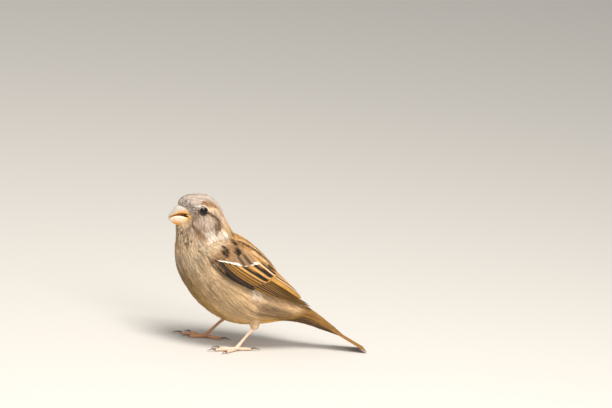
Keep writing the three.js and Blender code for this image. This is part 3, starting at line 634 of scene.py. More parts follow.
def barb_group():
    """Barbs of a vane: fine ridges that leave the shaft at a slant, and the shaft itself as a raised line.

    The vane map holds millimetres across from the shaft and along it."""
    group, inside, out = new_group(
        "barbs",
        [("NodeSocketColor", "Color", (1, 1, 1, 1)), ("NodeSocketFloat", "Spacing", 0.3),
         ("NodeSocketFloat", "Contrast", 0.25)],
        [("NodeSocketColor", "Color"), ("NodeSocketFloat", "Height")])
    uv = group.nodes.new("ShaderNodeUVMap")
    uv.uv_map = "vane"
    parts = group.nodes.new("ShaderNodeSeparateXYZ")
    link(group, uv.outputs[0], parts.inputs[0])
    across = math_node(group, "ABSOLUTE", parts.outputs["X"])
    wander = noise_node(group, uv.outputs[0], 1.3, 2.0)
    slant = math_node(group, "SUBTRACT", parts.outputs["Y"], math_node(group, "MULTIPLY", across, 1.5))
    slant = math_node(group, "ADD", slant, math_node(group, "MULTIPLY", wander, 0.9))
    turns = math_node(group, "MULTIPLY", slant, 2 * math.pi)
    phase = math_node(group, "DIVIDE", turns, inside.outputs["Spacing"])
    wave = math_node(group, "MULTIPLY", math_node(group, "SINE", phase), 0.5)
    change = math_node(group, "MULTIPLY", wave, inside.outputs["Contrast"])
    shaft = math_node(group, "LESS_THAN", across, 0.09)
    factor = math_node(group, "ADD", change, math_node(group, "SUBTRACT", 1.0, math_node(
        group, "MULTIPLY", shaft, 0.3)))
    link(group, scaled_colour(group, inside.outputs["Color"], factor), out.inputs["Color"])
    link(group, math_node(group, "ADD", wave, shaft), out.inputs["Height"])
    return group


MOTTLE, BARBS = mottle_group(), barb_group()


def place_group(tree, group, colour, **values):
    """Puts a shader group in a material, with a colour socket and its other inputs by name."""
    node = tree.nodes.new("ShaderNodeGroup")
    node.node_tree = group
    link(tree, colour, node.inputs["Color"])
    for name, value in values.items():
        node.inputs[name].default_value = value
    return node


def finish_material(name, roughness, bump=0.0, bump_mm=0.05, mottle=(900.0, 0.2), barbs=None, **sockets):
    """A material whose colour is the piece's tint, made uneven, with barbs where a spacing is given.

    sockets are constant values of the Principled shader's own inputs."""
    material = bpy.data.materials.new(name)
    material.use_nodes = True
    tree = material.node_tree
    shader = next(n for n in tree.nodes if n.type == "BSDF_PRINCIPLED")
    shader.inputs["Roughness"].default_value = roughness
    for socket, value in sockets.items():
        shader.inputs[socket.replace("_", " ")].default_value = value
    attribute = tree.nodes.new("ShaderNodeAttribute")
    attribute.attribute_name = "tint"
    mottled = place_group(tree, MOTTLE, attribute.outputs["Color"], Scale=mottle[0], Amount=mottle[1])
    last = mottled
    if barbs:
        last = place_group(tree, BARBS, mottled.outputs["Color"], Spacing=barbs[0], Contrast=barbs[1])
    link(tree, last.outputs["Color"], shader.inputs["Base Color"])
    if bump:
        relief = tree.nodes.new("ShaderNodeBump")
        relief.inputs["Strength"].default_value = bump
        relief.inputs["Distance"].default_value = bump_mm * MM
        link(tree, last.outputs["Height"], relief.inputs["Height"])
        link(tree, relief.outputs[0], shader.inputs["Normal"])
    return material


MATERIALS = {
    "skin": finish_material("under_down", 0.95, bump=0.6, bump_mm=0.2, mottle=(1400.0, 0.5)),
    "coat": finish_material("contour_feathers", 0.85, mottle=(700.0, 0.22), Specular_IOR_Level=0.2),
    "wing": finish_material("wing_vanes", 0.6, bump=0.5, bump_mm=0.04, mottle=(500.0, 0.2),
                            barbs=(0.32, 0.35), Specular_IOR_Level=0.25),
    "tail": finish_material("tail_vanes", 0.6, bump=0.5, bump_mm=0.04, mottle=(500.0, 0.2), barbs=(0.32, 0.3),
                            Specular_IOR_Level=0.25),
    "bill": finish_material("bill_horn", 0.38, bump=0.25, bump_mm=0.06, mottle=(600.0, 0.18),
                            Subsurface_Weight=0.08, Coat_Weight=0.1),
    "mouth": finish_material("mouth_lining", 0.3, bump=0.3, bump_mm=0.05, mottle=(900.0, 0.2)),
    "eye": finish_material("eye_gloss", 0.05, mottle=(300.0, 0.1), Specular_IOR_Level=0.35),
    "lid": finish_material("eyelid_skin", 0.7, bump=0.6, bump_mm=0.1, mottle=(2500.0, 0.3)),
    "leg": finish_material("leg_scales", 0.5, bump=0.5, bump_mm=0.06, mottle=(800.0, 0.3),
                           Subsurface_Weight=0.05),
    "claw": finish_material("claw_horn", 0.35, bump=0.3, bump_mm=0.04, mottle=(900.0, 0.3)),
}

# ---------------------------------------------------------------- skin and small feathers

BODY = body_surface()
SKIN_ALONG, SKIN_AROUND = 220, 160
CAP_SHRINK = [0.75, 0.4, 0.0]  # the skin closes over each end in rings of these sizes


def closed_ends(points, inwards):
    """Adds rings at both ends that shrink to a point, moved inwards from the first end and the last."""
    def cap(ring, way):
        middle = ring.mean(0)
        return [middle + (ring - middle) * k + way * (1 - k) for k in CAP_SHRINK]
    first = cap(points[0], inwards[0])[::-1]
    return np.concatenate([np.array(first), points, np.array(cap(points[-1], inwards[1]))])


COMB_SHADE, COMB_RELIEF = 0.34, 0.22  # how much the strands lighten and darken, and their height in mm
SKIN_SHADE = 0.72


def skin_colour(u, v, colour, streak, streak_colour):
    """The skin under the feathers: their colour with half their streak, darker, with the same strands."""
    shade = SKIN_SHADE * np.exp(COMB_SHADE * combed(u, v))
    return blend_colour(colour, streak_colour, streak * 0.45) * shade[..., None]


def wrapped_map(rows, columns):
    """Corner map of a grid that wraps: v once around on X and u along on Y."""
    i, j = np.meshgrid(np.arange(rows - 1), np.arange(columns), indexing="ij")
    corners = np.stack([np.stack([i, j], -1), np.stack([i, j + 1], -1), np.stack([i + 1, j + 1], -1),
                        np.stack([i + 1, j], -1)], -2).reshape(-1, 4, 2)
    return corners[..., ::-1] / np.array([columns, rows - 1])


def add_closed(piece, points, tint):
    """Adds rings that wrap around; rings past the coloured ones, at each end, take the end ring's colour."""
    extra = (len(points) - len(tint)) // 2
    tint = np.concatenate([tint[:1]] * extra + [tint] + [tint[-1:]] * extra)
    shape = points.shape[:2]
    piece.add(points, grid_faces(*shape, wrap=True), tint, wrapped_map(*shape))


def add_skin(piece, surface, depth, colours, along, around, inwards):
    """The surface sunk by the coat's depth along its normals, closed at both ends."""
    u, v = np.meshgrid(np.linspace(0, 1, along), np.arange(around) / around, indexing="ij")
    points = surface.at(surface.points, u, v) - surface.at(surface.normals, u, v) * depth(u)[..., None]
    colour, streak, streak_colour, _ = colours(u, v)
    tint = skin_colour(u, v, colour, streak, streak_colour)
    add_closed(piece, closed_ends(points, inwards), tint)


def body_colours(u, v):
    """The plumage's colours at u and v of the body."""
    return plumage(body_ring(u, v), u * BODY_LAST_ROW, v)


PROBES = 64  # places around a ring where its size is taken
USUAL_SPEED = 85  # the percentile of the rows' spacing around a ring that counts as its own


def scatter(surface, along, across, rng):
    """Roots of small feathers in rings: each ring lies one spacing behind the last and holds as many as
    fit around it, thinned where the rings crowd together."""
    roots = []
    u = 0.0
    while u < 1:
        probe = np.linspace(0, 1, PROBES, endpoint=False)
        speed = surface.at(surface.speed_u, np.full(PROBES, u), probe)[:, 0]
        girth = surface.at(surface.speed_v, np.full(PROBES, u), probe)[:, 0].mean()
        n = max(4, int(girth / across(u)))
        v = (np.arange(n) + rng.random() + rng.normal(0, 0.22, n)) / n
        step = along(u) / np.percentile(speed, USUAL_SPEED)
        at = u + step * rng.uniform(-0.5, 0.5, n)
        here = surface.at(surface.speed_u, np.full(n, u), v)[:, 0]
        keep = rng.random(n) < here / np.percentile(speed, USUAL_SPEED)
        roots.append(np.stack([at, v % 1 if surface.wraps else v], -1)[keep])
        u += step
    roots = np.concatenate(roots)
    return roots[(roots[:, 0] >= 0) & (roots[:, 0] <= 1)]


def feather_pattern(barbs):
    """Outline of a small feather as barbs: (across, along) at three stations, and the strip's half width.

    Barbs leave the shaft in pairs and sweep forward to the round edge of the vane; one more is the tip."""
    start = np.linspace(0.04, 0.60, barbs)
    end = start + 0.44
    reach = np.sqrt(np.maximum(1 - ((end - 0.50) / 0.58) ** 2, 0.03))
    stations = np.array([0.0, 0.5, 1.0])
    along = start[:, None] + (end - start)[:, None] * stations ** 1.15
    across = reach[:, None] * stations ** 0.8
    both = np.concatenate([np.stack([across, along], -1), np.stack([-across, along], -1),
                           [[[0, 0.1], [0, 0.6], [0, 1.08]]]])
    return both, np.array([0.5, 0.42, 0.05]) * 0.40 / (barbs + 1)


LEAN = 0.07  # how far feathers lean to a side, for each unit along
BARB_LIFT, FEATHER_LIFT = 0.08, 0.10  # how unevenly barbs and whole feathers stand up
FEATHER_CUP = 0.10  # how far a feather's edges curve down
SIZE_SPREAD = (0.85, 1.15)  # sizes of feathers beside the mean


def grow_feathers(piece, surface, roots, length, width, depth, colours, barbs, rng, unwrap, ruffle=1.0):
    """Small feathers on a surface. Each barb is a strip of two quads, laid over the surface from the root
    back along u; the feather rises from the skin at its root to the coat's outer surface at its tip."""
    u0, v0 = roots[:, 0], roots[:, 1]
    count = len(roots)
    pattern, half_strip = feather_pattern(barbs)
    strips = len(pattern)
    shape = (count, strips, 3)
    size = (length * rng.uniform(*SIZE_SPREAD, count))[:, None, None]
    half = (width / 2 * rng.uniform(*SIZE_SPREAD, count))[:, None, None]
    across = pattern[None, ..., 0] * half + rng.normal(0, 0.05, shape) * half
    along = pattern[None, ..., 1] * size * (1 + 0.06 * rng.normal(0, 1, (count, strips, 1)))
    lean = rng.normal(0, LEAN * ruffle, count)[:, None, None]
    across = across + lean * along
    step_across = np.gradient(across, axis=-1)
    step_along = np.gradient(along, axis=-1)
    norm = np.sqrt(step_across ** 2 + step_along ** 2)
    strip = half_strip[None, None] * size
    sides = np.array([-1.0, 1.0])
    across = across[..., None] - sides * (step_along / norm * strip)[..., None]
    along = along[..., None] + sides * (step_across / norm * strip)[..., None]
    u = u0[:, None, None, None] + along / surface.at(surface.speed_u, u0, v0)[..., None, None]
    v = v0[:, None, None, None] + across / surface.at(surface.speed_v, u0, v0)[..., None, None]
    share = np.clip(along / size[..., None], 0, 1.1)
    rise = 1 - np.clip(1 - share, 0, 1) ** 1.7
    cup = -FEATHER_CUP * (across / half[..., None]) ** 2 * half[..., None]
    wild = rng.normal(0, BARB_LIFT * ruffle, (count, strips, 1, 1))
    wild = wild + rng.normal(0, FEATHER_LIFT * ruffle, (count, 1, 1, 1))
    strands = combed(u, v)
    depth = depth[:, None, None, None]
    height = depth * (rise - 1) + cup + (wild * np.minimum(depth, 1) + COMB_RELIEF * strands * depth) * share
    points = surface.at(surface.points, u, v) + surface.at(surface.normals, u, v) * height[..., None]

    shown = np.clip(u0 + 0.7 * length / surface.at(surface.speed_u, u0, v0)[:, 0], 0, 1)
    colour, streak, streak_colour, vary = colours(shown, v0)
    middle = np.exp(-(np.abs(pattern[None, ..., 0]) / 0.38) ** 2)[..., None] * np.ones(2)
    amount = (streak * rng.uniform(0.5, 1.4, count))[:, None, None, None] * middle
    amount = amount * smoothstep(share, 0.15, 0.5)
    tone = np.exp((vary * rng.normal(0, 1, count))[:, None, None, None]
                  + rng.normal(0, 0.09, (count, strips, 1, 1)) + COMB_SHADE * strands)
    base = colour[:, None, None, None] * mix(0.70, 1.08, smoothstep(share, 0.1, 0.9))[..., None]
    tint = blend_colour(base, streak_colour[:, None, None, None], np.clip(amount, 0, 1)) * tone[..., None]
    tint = np.clip(tint, 0.005, 0.97)

    bake = unwrap(u0, v0)[:, None, None, None] + 0.0015 * np.stack(
        [across / half[..., None], 2 * share - 1], -1)
    faces = grid_faces(3, 2, copies=count * strips)
    piece.add(points, faces if surface.flipped else faces[:, ::-1], tint, bake, closed=False)


def region_map(u_range, v_range, wraps_at_back):
    """Unwrap of one region of the body: v across and u along, each stretched to the unit square."""
    def unwrap(u, v):
        v = ((v + 0.5) % 1) - 0.5 if wraps_at_back else v
        low_v, high_v = v_range
        low_u, high_u = u_range
        x = (v - low_v) / (high_v - low_v)
        y = (u - low_u) / (high_u - low_u)
        return np.clip(np.stack([x, y], -1) * 0.98 + 0.01, 0.003, 0.997)
    return unwrap


def body_table(table, scale=1.0):
    """A body table as a function of u."""
    return lambda u: row_values(table, np.asarray(u) * BODY_LAST_ROW) * scale


# Regions of the coat: body rows, whether it is the upper or the lower half, barbs a side, and ruffle.
COAT_REGIONS = [
    ("coat_face", (0, 2.6), "both", 3, 0.8),
    ("coat_crown", (2.6, 7.6), "upper", 4, 0.8),
    ("coat_throat", (2.6, 7.6), "lower", 4, 1.0),
    ("coat_mantle", (7.6, 13.5), "upper", 6, 0.5),
    ("coat_breast", (7.6, 11.2), "lower", 6, 1.0),
    ("coat_belly", (11.2, 14.6), "lower", 7, 1.0),
    ("coat_vent", (14.6, 20.01), "lower", 7, 0.6),
    ("coat_rump", (13.5, 20.01), "upper", 7, 0.5),
]
EYE_BARE = 2.7  # no small feather lies nearer to the middle of the eye


def eye_gap(points):
    """Distance from the line through both eyes, for points with the head straight ahead."""
    return np.hypot(points[..., 1] - EYE_CENTRE[1], (points[..., 2] - EYE_CENTRE[2]) * 1.12)


def bare_spots(roots):
    """Keeps the roots that are clear of the eyes and not hidden under the wings."""
    u, v = roots[:, 0], roots[:, 1]
    length = row_values(FEATHER_LENGTH, u * BODY_LAST_ROW)
    tip = u + 0.9 * length / BODY.at(BODY.speed_u, u, v)[:, 0]
    middle = (u + tip) / 2
    near_eye = np.minimum.reduce([eye_gap(body_ring(at, v)) for at in (u, middle, tip)]) < EYE_BARE
    on_head = u * BODY_LAST_ROW < 7.5
    hidden = BODY.at(BODY.covered, u, v)[:, 0] > 0.9
    return roots[~(near_eye & on_head) & ~hidden]


def add_coat():
    """The whole body's small feathers, a piece for each region."""
    rng = np.random.default_rng(COAT_SEED)
    roots = bare_spots(scatter(BODY, body_table(ROW_SPACING), body_table(COLUMN_SPACING), rng))
    row = roots[:, 0] * BODY_LAST_ROW
    upper = np.abs(((roots[:, 1] + 0.5) % 1) - 0.5) < 0.25
    for name, (low, high), half, barbs, ruffle in COAT_REGIONS:
        inside = (row >= low) & (row < high)
        if half != "both":
            inside &= upper if half == "upper" else ~upper
        own = roots[inside]
        v_range = {"both": (0, 1), "upper": (-0.25, 0.25), "lower": (0.25, 0.75)}[half]
        unwrap = region_map((low / BODY_LAST_ROW, min(high / BODY_LAST_ROW, 1)), v_range, half == "upper")
        piece = Piece(name, MATERIALS["coat"], "plumage")
        own_row = own[:, 0] * BODY_LAST_ROW
        length, width, depth = (
            row_values(table, own_row) for table in (FEATHER_LENGTH, FEATHER_WIDTH, COAT_DEPTH))
        grow_feathers(piece, BODY, own, length, width, depth, body_colours, barbs, rng, unwrap, ruffle)
        piece.build()


def limb_surface(points, radii, along, around):
    """A round limb along a curve, u from its start to its end."""
    u = np.linspace(0, 1, along)
    centre = spline(points, u)
    forward = unit(np.gradient(centre, axis=0))
    side = unit(np.cross(forward, np.cross([1.0, 0, 0], forward)))
    up = np.cross(forward, side)
    angle = 2 * np.pi * np.arange(around) / around
    radius = spline(radii, u)
    ring = side[:, None] * np.cos(angle)[None, :, None] + up[:, None] * np.sin(angle)[None, :, None]
    return Surface(centre[:, None] + ring * radius[:, None], wraps=True)


def add_thighs(skin):
    """Feathered thighs: skin joined to the body's, and small feathers running down to the heel."""
    rng = np.random.default_rng(THIGH_SEED)
    for label, leg in LEGS.items():
        surface = limb_surface([leg["hip"], leg["knee"], leg["heel"]], THIGH_RADII, 40, 48)

        def colours(u, v):
            shape = np.shape(u)
            colour = blend_colour(np.broadcast_to(BELLY, shape + (3,)), THIGH_PALE, smoothstep(u, 0.3, 0.8))
            return colour, np.full(shape, 0.2), colour * 0.5, np.full(shape, 0.1)
        add_skin(skin, surface, lambda u: 0.9 - 0.4 * u, colours, 24, 32, np.array([[0, 0, 0], [0, 0, 0.0]]))
        roots = scatter(surface, lambda u: 0.6, lambda u: 0.6, rng)
        roots = roots[roots[:, 0] < 0.93]
        piece = Piece(f"coat_thigh_{label}", MATERIALS["coat"], "plumage", [f"thigh_{label}"])
        grow_feathers(piece, surface, roots, mix(4.2, 2.2, roots[:, 0]), mix(2.2, 1.3, roots[:, 0]),
                      mix(0.9, 0.5, roots[:, 0]), colours, 5, rng, region_map((0, 1), (0, 1), False))
        piece.build()


def add_body():
    """Skin of body and thighs as one piece, and the coat over them."""
    skin = Piece("skin", MATERIALS["skin"], "plumage", ["head", "neck", "trunk", "rump"])
    add_skin(skin, BODY, body_table(COAT_DEPTH), body_colours, SKIN_ALONG, SKIN_AROUND,
             np.array([[0, 3.0, 0], [0, 1.0, 0]]))
    add_thighs(skin)
    skin.build()
    add_coat()


# ---------------------------------------------------------------- wing and tail feathers


def closed_vane(place, stations, columns, thickness):
    """A vane as a closed sheet: its top and, a thickness lower, its underside, one ring at each station.

    place(c, s, drop) gives points at c from -1 to 1 across, s from 0 to 1 along and drop below the top."""
    c = np.linspace(-1, 1, columns)
    s = np.linspace(0, 1, stations) ** 0.9
    ring_c = np.concatenate([c, c[::-1]])
    ring_drop = np.concatenate([np.zeros(columns), np.full(columns, thickness)])
    cc, ss = np.meshgrid(ring_c, s, indexing="xy")
    return place(cc, ss, np.broadcast_to(ring_drop, cc.shape)), cc, ss


def vane_width(s, root, full, tip):
    """Share of the full width at s: root at the start, 1 from full on, and a round end after tip."""
    grow = mix(root, 1.0, smoothstep(s, 0, full))
    return grow * np.sqrt(np.maximum(1 - np.clip((s - tip) / (1 - tip), 0, 1) ** 2.2, 0))


def island(index, total):
    """Corner and size of the index-th of total tall islands in rows on the bake map."""
    columns = int(math.ceil(math.sqrt(total * 3)))
    rows = int(math.ceil(total / columns))
    corner = np.array([(index % columns) / columns, (index // columns) / rows])
    return corner, np.array([1 / columns, 1 / rows])


VANE_COLUMNS = 9  # points across a vane
VANE_THICKNESS = 0.16


def add_vane(piece, place, colour, half_mm, length_mm, index, total, stations=34):
    """Adds one flight feather; colour(c, s) gives its pattern, c across from its outer edge."""
    columns = VANE_COLUMNS
    points, c, s = closed_vane(place, stations, columns, VANE_THICKNESS)
    corner, size = island(index, total)
    across = (c + 1) / 2 * 0.42 + np.where(np.arange(c.shape[1]) < columns, 0, 0.5) + 0.04
    bake = corner + np.stack([across, 0.03 + 0.94 * s], -1) * size
    vane = np.stack([c * half_mm, s * length_mm], -1)
    rows = np.concatenate([[0], np.arange(stations), [stations - 1]])
    points = points[rows]
    points[[0, -1]] = points[[0, -1]].mean(1, keepdims=True)
    faces = grid_faces(stations + 2, 2 * columns, wrap=True)
    piece.add(points, faces, colour(c, s)[rows], bake[rows], vane[rows])


def edge_mask(distance_mm, width_mm, soft=0.15):
    """1 at an edge and 0 further from it than width."""
    return 1 - smoothstep(distance_mm, width_mm - soft, width_mm + soft)


def fringed(colour, c, s, half_mm, length_mm, fringe, fringe_mm, tip, tip_mm):
    """Adds a fringe along the outer edge of a vane and a border round its tip."""
    colour = blend_colour(colour, fringe, edge_mask((c + 1) * half_mm, fringe_mm))
    return blend_colour(colour, tip, edge_mask((1 - s) * length_mm, tip_mm))


def blot(c, s, middle, reach, start, end):
    """A dark patch on a vane: round it lies middle in c, reach to each side, and start to end along s."""
    narrow = reach * mix(0.45, 1.0, smoothstep(s, start - 0.1, end))
    across = 1 - smoothstep(np.abs(c - middle), narrow * 0.75, narrow)
    return across * smoothstep(s, start - 0.12, start + 0.05) * (1 - smoothstep(s, end - 0.04, end + 0.04))


def plain(shade, c):
    """One colour at every point of c."""
    return np.broadcast_to(shade, c.shape + (3,))


# Patterns of the wing's feathers. i counts from the lowest feather of its group; c and s are places on the
# vane, and half_mm and length_mm its size, which some of the patterns have no need of.


def primary_pattern(i, c, s, half_mm, length_mm):
    """Dark brown with a pale orange outer edge."""
    return fringed(plain(DARK_BROWN, c), c, s, half_mm, length_mm, PALE_ORANGE, 0.42, DARK_BROWN, 0.3)


def primary_covert_pattern(i, c, s, half_mm, length_mm):
    """Nearly black with a narrow brown edge; the lowest has a pale spot where it starts."""
    colour = fringed(plain(BLACK * 1.2, c), c, s, half_mm, length_mm, DARK_BROWN * 1.5, 0.2, DARK_BROWN, 0.3)
    pale = edge_mask((c + 1) * half_mm, 0.35) * (1 - smoothstep(s, 0.06, 0.14)) * (i == 0)
    return blend_colour(colour, WHITE_BAR * 0.8, pale)


def secondary_pattern(i, c, s, half_mm, length_mm):
    """Nearly black with a pale orange outer edge and a buff tip."""
    return fringed(plain(BLACK * 1.2, c), c, s, half_mm, length_mm, PALE_ORANGE * 0.9, 0.34, BUFF, 0.3)


def tertial_pattern(i, c, s, half_mm, length_mm):
    """The lowest has a wide orange outer vane; the others a cream edge, a black line and a tan vane."""
    inwards = (c + 1) * half_mm
    if i == 0:
        colour = blend_colour(plain(GOLDEN_BUFF, c), RUSTY, smoothstep(inwards, 1.0, 2.9) * 0.6)
        return blend_colour(colour, BLACK, smoothstep(inwards, 2.7, 3.1))
    colour = blend_colour(plain(BLACK, c), GOLDEN_BUFF, smoothstep(inwards, 1.9, 2.3))
    return fringed(colour, c, s, half_mm, length_mm, CREAM, 0.75, BUFF, 0.6)


def greater_covert_pattern(i, c, s, half_mm, length_mm):
    """Two black coverts, three brown ones with a dark line and a pale fringe, two with a black drop and
    a pale one with a shorter drop."""
    if i < 2:
        return fringed(plain(BLACK, c), c, s, half_mm, length_mm, RUSTY * 0.35, 0.3, RUSTY * 0.5, 0.5)
    if i < 5:
        colour = blend_colour(plain(BUFF * 0.7, c), BLACK, smoothstep(c, -0.36, -0.14))
        return fringed(colour, c, s, half_mm, length_mm, PALE_ORANGE, 0.4, RUSTY * 1.2, 0.9)
    if i < 7:
        colour = blend_colour(plain(RUSTY * 1.1, c), ORANGE_BUFF * 0.72, smoothstep(s, 0.4, 0.8))
        colour = blend_colour(colour, BLACK * 0.6, blot(c, s, -0.32, 0.52, 0.30, 0.95))
        return fringed(colour, c, s, half_mm, length_mm, FRINGE_CREAM, 0.5, PALE_ORANGE, 0.9)
    colour = blend_colour(plain(BUFF, c), BLACK, blot(c, s, -0.30, 0.50, 0.35, 0.93))
    return fringed(colour, c, s, half_mm, length_mm, CREAM, 0.6, BUFF, 0.5)


MEDIAN_BLOTS = [0.95, 0.9, 0.45, 0.6, 1.0, 1.0, 0.4]  # how dark each centre is
MEDIAN_TIPS = [2.0, 2.3, 2.1, 2.5, 0.6, 0.9, 2.1]  # length of each white tip, in millimetres


def median_covert_pattern(i, c, s, half_mm, length_mm):
    """Rusty brown with a dark centre, and a white tip that together make the wing bar."""
    soft = np.exp(-((c + 0.3) / 0.46) ** 2) * smoothstep(s, 0.05, 0.5)
    colour = blend_colour(plain(LESSER_BROWN * 1.1, c), BLACK * 1.2, soft * MEDIAN_BLOTS[i])
    tip = edge_mask((1 - s) * length_mm + 0.5 * np.abs(c + 0.3), MEDIAN_TIPS[i], 0.35)
    return blend_colour(colour, WHITE_BAR, tip)


# Groups of the left wing from the lowest layer up. Root and tip lines list [t, q] from the lowest
# feather to the highest; lift is the height over the sheet at roots and tips, step the layering, half the
# half width of a vane and length its length. Edges are where each feather begins across the group, and
# arch is how far the vanes bow up along their length.
WING_GROUPS = [
    {"name": "primaries", "count": 7, "lift": (0.15, 0.3), "step": 0.22, "tip_round": 0.86, "half": 1.7,
     "length": 34, "pattern": primary_pattern,
     "root": [[0.50, 1.0], [0.42, 0.80], [0.38, 0.48]], "tip": [[0.90, 0.94], [1.0, 0.62], [0.76, 0.40]]},
    {"name": "primary_coverts", "count": 4, "lift": (0.5, 0.6), "step": 0.2, "tip_round": 0.88, "half": 1.3,
     "length": 36, "pattern": primary_covert_pattern,
     "root": [[-0.015, 1.04], [0.0, 0.88]], "tip": [[0.52, 1.02], [0.40, 0.86]]},
    {"name": "secondaries", "count": 8, "lift": (1.0, 0.9), "step": 0.25, "tip_round": 0.88, "half": 1.15,
     "length": 26, "pattern": secondary_pattern,
     "root": [[0.36, 0.92], [0.36, 0.44]], "tip": [[0.68, 0.97], [0.78, 0.74], [0.86, 0.50]]},
    {"name": "tertials", "count": 4, "lift": (1.5, 1.5), "step": 0.35, "tip_round": 0.8, "half": 2.6,
     "arch": 1.3, "length": 27, "pattern": tertial_pattern, "edges": [0, 0.36, 0.60, 0.80, 1.0],
     "root": [[0.42, 0.54], [0.42, 0.02]], "tip": [[0.865, 0.56], [0.85, 0.30], [0.68, 0.02]]},
    {"name": "greater_coverts", "count": 8, "lift": (2.0, 1.8), "step": 0.3, "tip_round": 0.86, "half": 1.9,
     "length": 26, "pattern": greater_covert_pattern,
     "edges": [0, 0.08, 0.16, 0.24, 0.33, 0.43, 0.61, 0.81, 1.0],
     "root": [[0.02, 0.94], [0.12, 0.70], [0.28, 0.14]],
     "tip": [[0.43, 1.0], [0.48, 0.86], [0.53, 0.66], [0.53, 0.42], [0.55, 0.12]]},
    {"name": "median_coverts", "count": 7, "lift": (2.4, 2.5), "step": 0.35, "tip_round": 0.72, "half": 2.0,
     "length": 13, "pattern": median_covert_pattern,
     "root": [[-0.10, 0.90], [0.0, 0.62], [0.14, 0.24]],
     "tip": [[0.0, 0.93], [0.125, 0.79], [0.25, 0.645], [0.345, 0.36]]},
]


def mirrored(points, side):
    """Points of the left side moved to the side asked for: 1 left and -1 right."""
    return points * np.array([side, 1, 1])


WING_LAP = 0.7  # share of a feather's visible width that runs on under the next
WING_CAMBER, TAIL_CAMBER = 0.2, 0.12  # how far a vane bows up across its width
TERTIAL_FLATTEN = 0.9  # share of the arch that is gone at the feathers nearest the back


def add_wing_group(side_name, side, group, rng):
    """One group of flight feathers or coverts, each lapping over the one below it on the flank."""
    count = group["count"]
    node = f"wing_{side_name}_{group['name']}"
    piece = Piece(node, MATERIALS["wing"], "wing_feathers", [node])
    edges = group.get("edges", [i / count for i in range(count + 1)])
    for i in range(count):
        visible = edges[i + 1] - edges[i]
        low, high = edges[i], min(edges[i + 1] + WING_LAP * visible, 1.0)
        middle, half = (low + high) / 2, (high - low) / 2
        tone = rng.uniform(0.88, 1.12)
        droop = rng.uniform(-0.1, 0.1)

        def place(c, s, drop):
            k = middle + c * half * vane_width(s, 0.6, 0.2, group["tip_round"])
            t, q = np.moveaxis(mix(spline(group["root"], k), spline(group["tip"], k), s[..., None]), -1, 0)
            layer = group["step"] * (1 - (k - low) / visible)
            camber = WING_CAMBER * (1 - c ** 2)
            arch = group.get("arch", 0.0) * smoothstep(s, 0.25, 0.6) * (1 - smoothstep(s, 0.75, 1.0))
            arch = arch * (1 - TERTIAL_FLATTEN * smoothstep(k, 0.45, 0.95))
            rise = mix(*group["lift"], s) + layer + camber + arch - drop + droop * s
            return mirrored(on_wing(t, q, rise), side)

        def colour(c, s):
            width = group["half"] * vane_width(s, 0.6, 0.2, group["tip_round"])
            return group["pattern"](i, c, s, width, group["length"]) * tone
        add_vane(piece, place, colour, group["half"], group["length"], i, count)
    piece.build()


def pad_height(pad, t, q):
    """Dome over the sheet: an ellipse in t and q, skewed along the wing."""
    y = 2 * (t - pad["skew"] * (0.5 - q) - pad["t"][0]) / (pad["t"][1] - pad["t"][0]) - 1
    x = 2 * (q - pad["q"][0]) / (pad["q"][1] - pad["q"][0]) - 1
    return pad["base"] + pad["thickness"] * np.sqrt(np.maximum(1 - x ** 2 - y ** 2, 0))


# Dark patches of the shoulder: from and to in [t, q], and the radius in millimetres.
SHOULDER_PATCHES = [([-0.035, 0.69], [0.045, 0.73], 0.9), ([-0.04, 0.60], [0.035, 0.65], 0.9),
                    ([-0.01, 0.90], [0.06, 0.84], 1.2), ([0.07, 0.46], [0.20, 0.58], 1.9),
                    ([0.19, 0.44], [0.26, 0.50], 1.4), ([-0.02, 0.34], [0.03, 0.35], 1.2)]


def shoulder_colours(t, q):
    """Grey-buff at the front like the breast beside it, then reddish brown with a few soft dark patches."""
    place = np.stack([t * WING_LENGTH, q * WING_WIDTH], -1)
    colour = blend_colour(BREAST * 1.22, LESSER_BROWN, smoothstep(t + 0.05 * (q - 0.5), -0.09, 0.0))
    colour = blend_colour(colour, TAN * 0.8, (1 - smoothstep(q, 0.22, 0.40)) * 0.8)
    for start, end, radius in SHOULDER_PATCHES:
        line = np.array([start, end]) * [WING_LENGTH, WING_WIDTH]
        colour = blend_colour(colour, BLACK, along_line(place, line, radius * 1.2))
    return colour, np.full(t.shape, 0.35), colour * 0.4, np.full(t.shape, 0.16)


# Streaks of the scapulars: a line in [t, q], half width in millimetres and colour.
SCAPULAR_STREAKS = [([[-0.06, 0.13], [0.14, 0.07], [0.26, 0.03], [0.40, -0.08]], 0.9, CREAM),
                    ([[0.19, 0.215], [0.27, 0.20], [0.36, 0.175]], 0.8, CREAM),
                    ([[0.00, 0.22], [0.11, 0.155], [0.20, 0.125], [0.30, 0.07], [0.42, -0.05]], 0.9, BLACK),
                    ([[0.38, 0.20], [0.46, 0.165], [0.53, 0.11]], 1.1, BLACK),
                    ([[-0.02, 0.33], [0.03, 0.34]], 1.0, BLACK)]


def scapular_colours(t, q):
    """Tan feathers with dark shafts, under a cream line and bold black streaks along the back."""
    place = np.stack([t * WING_LENGTH, q * WING_WIDTH], -1)
    colour = np.broadcast_to(TAN, t.shape + (3,))
    for line, radius, shade in SCAPULAR_STREAKS:
        line = np.array(line) * [WING_LENGTH, WING_WIDTH]
        colour = blend_colour(colour, shade, along_line(place, line, radius * 1.3))
    return colour, np.full(t.shape, 0.55), colour * 0.3, np.full(t.shape, 0.12)


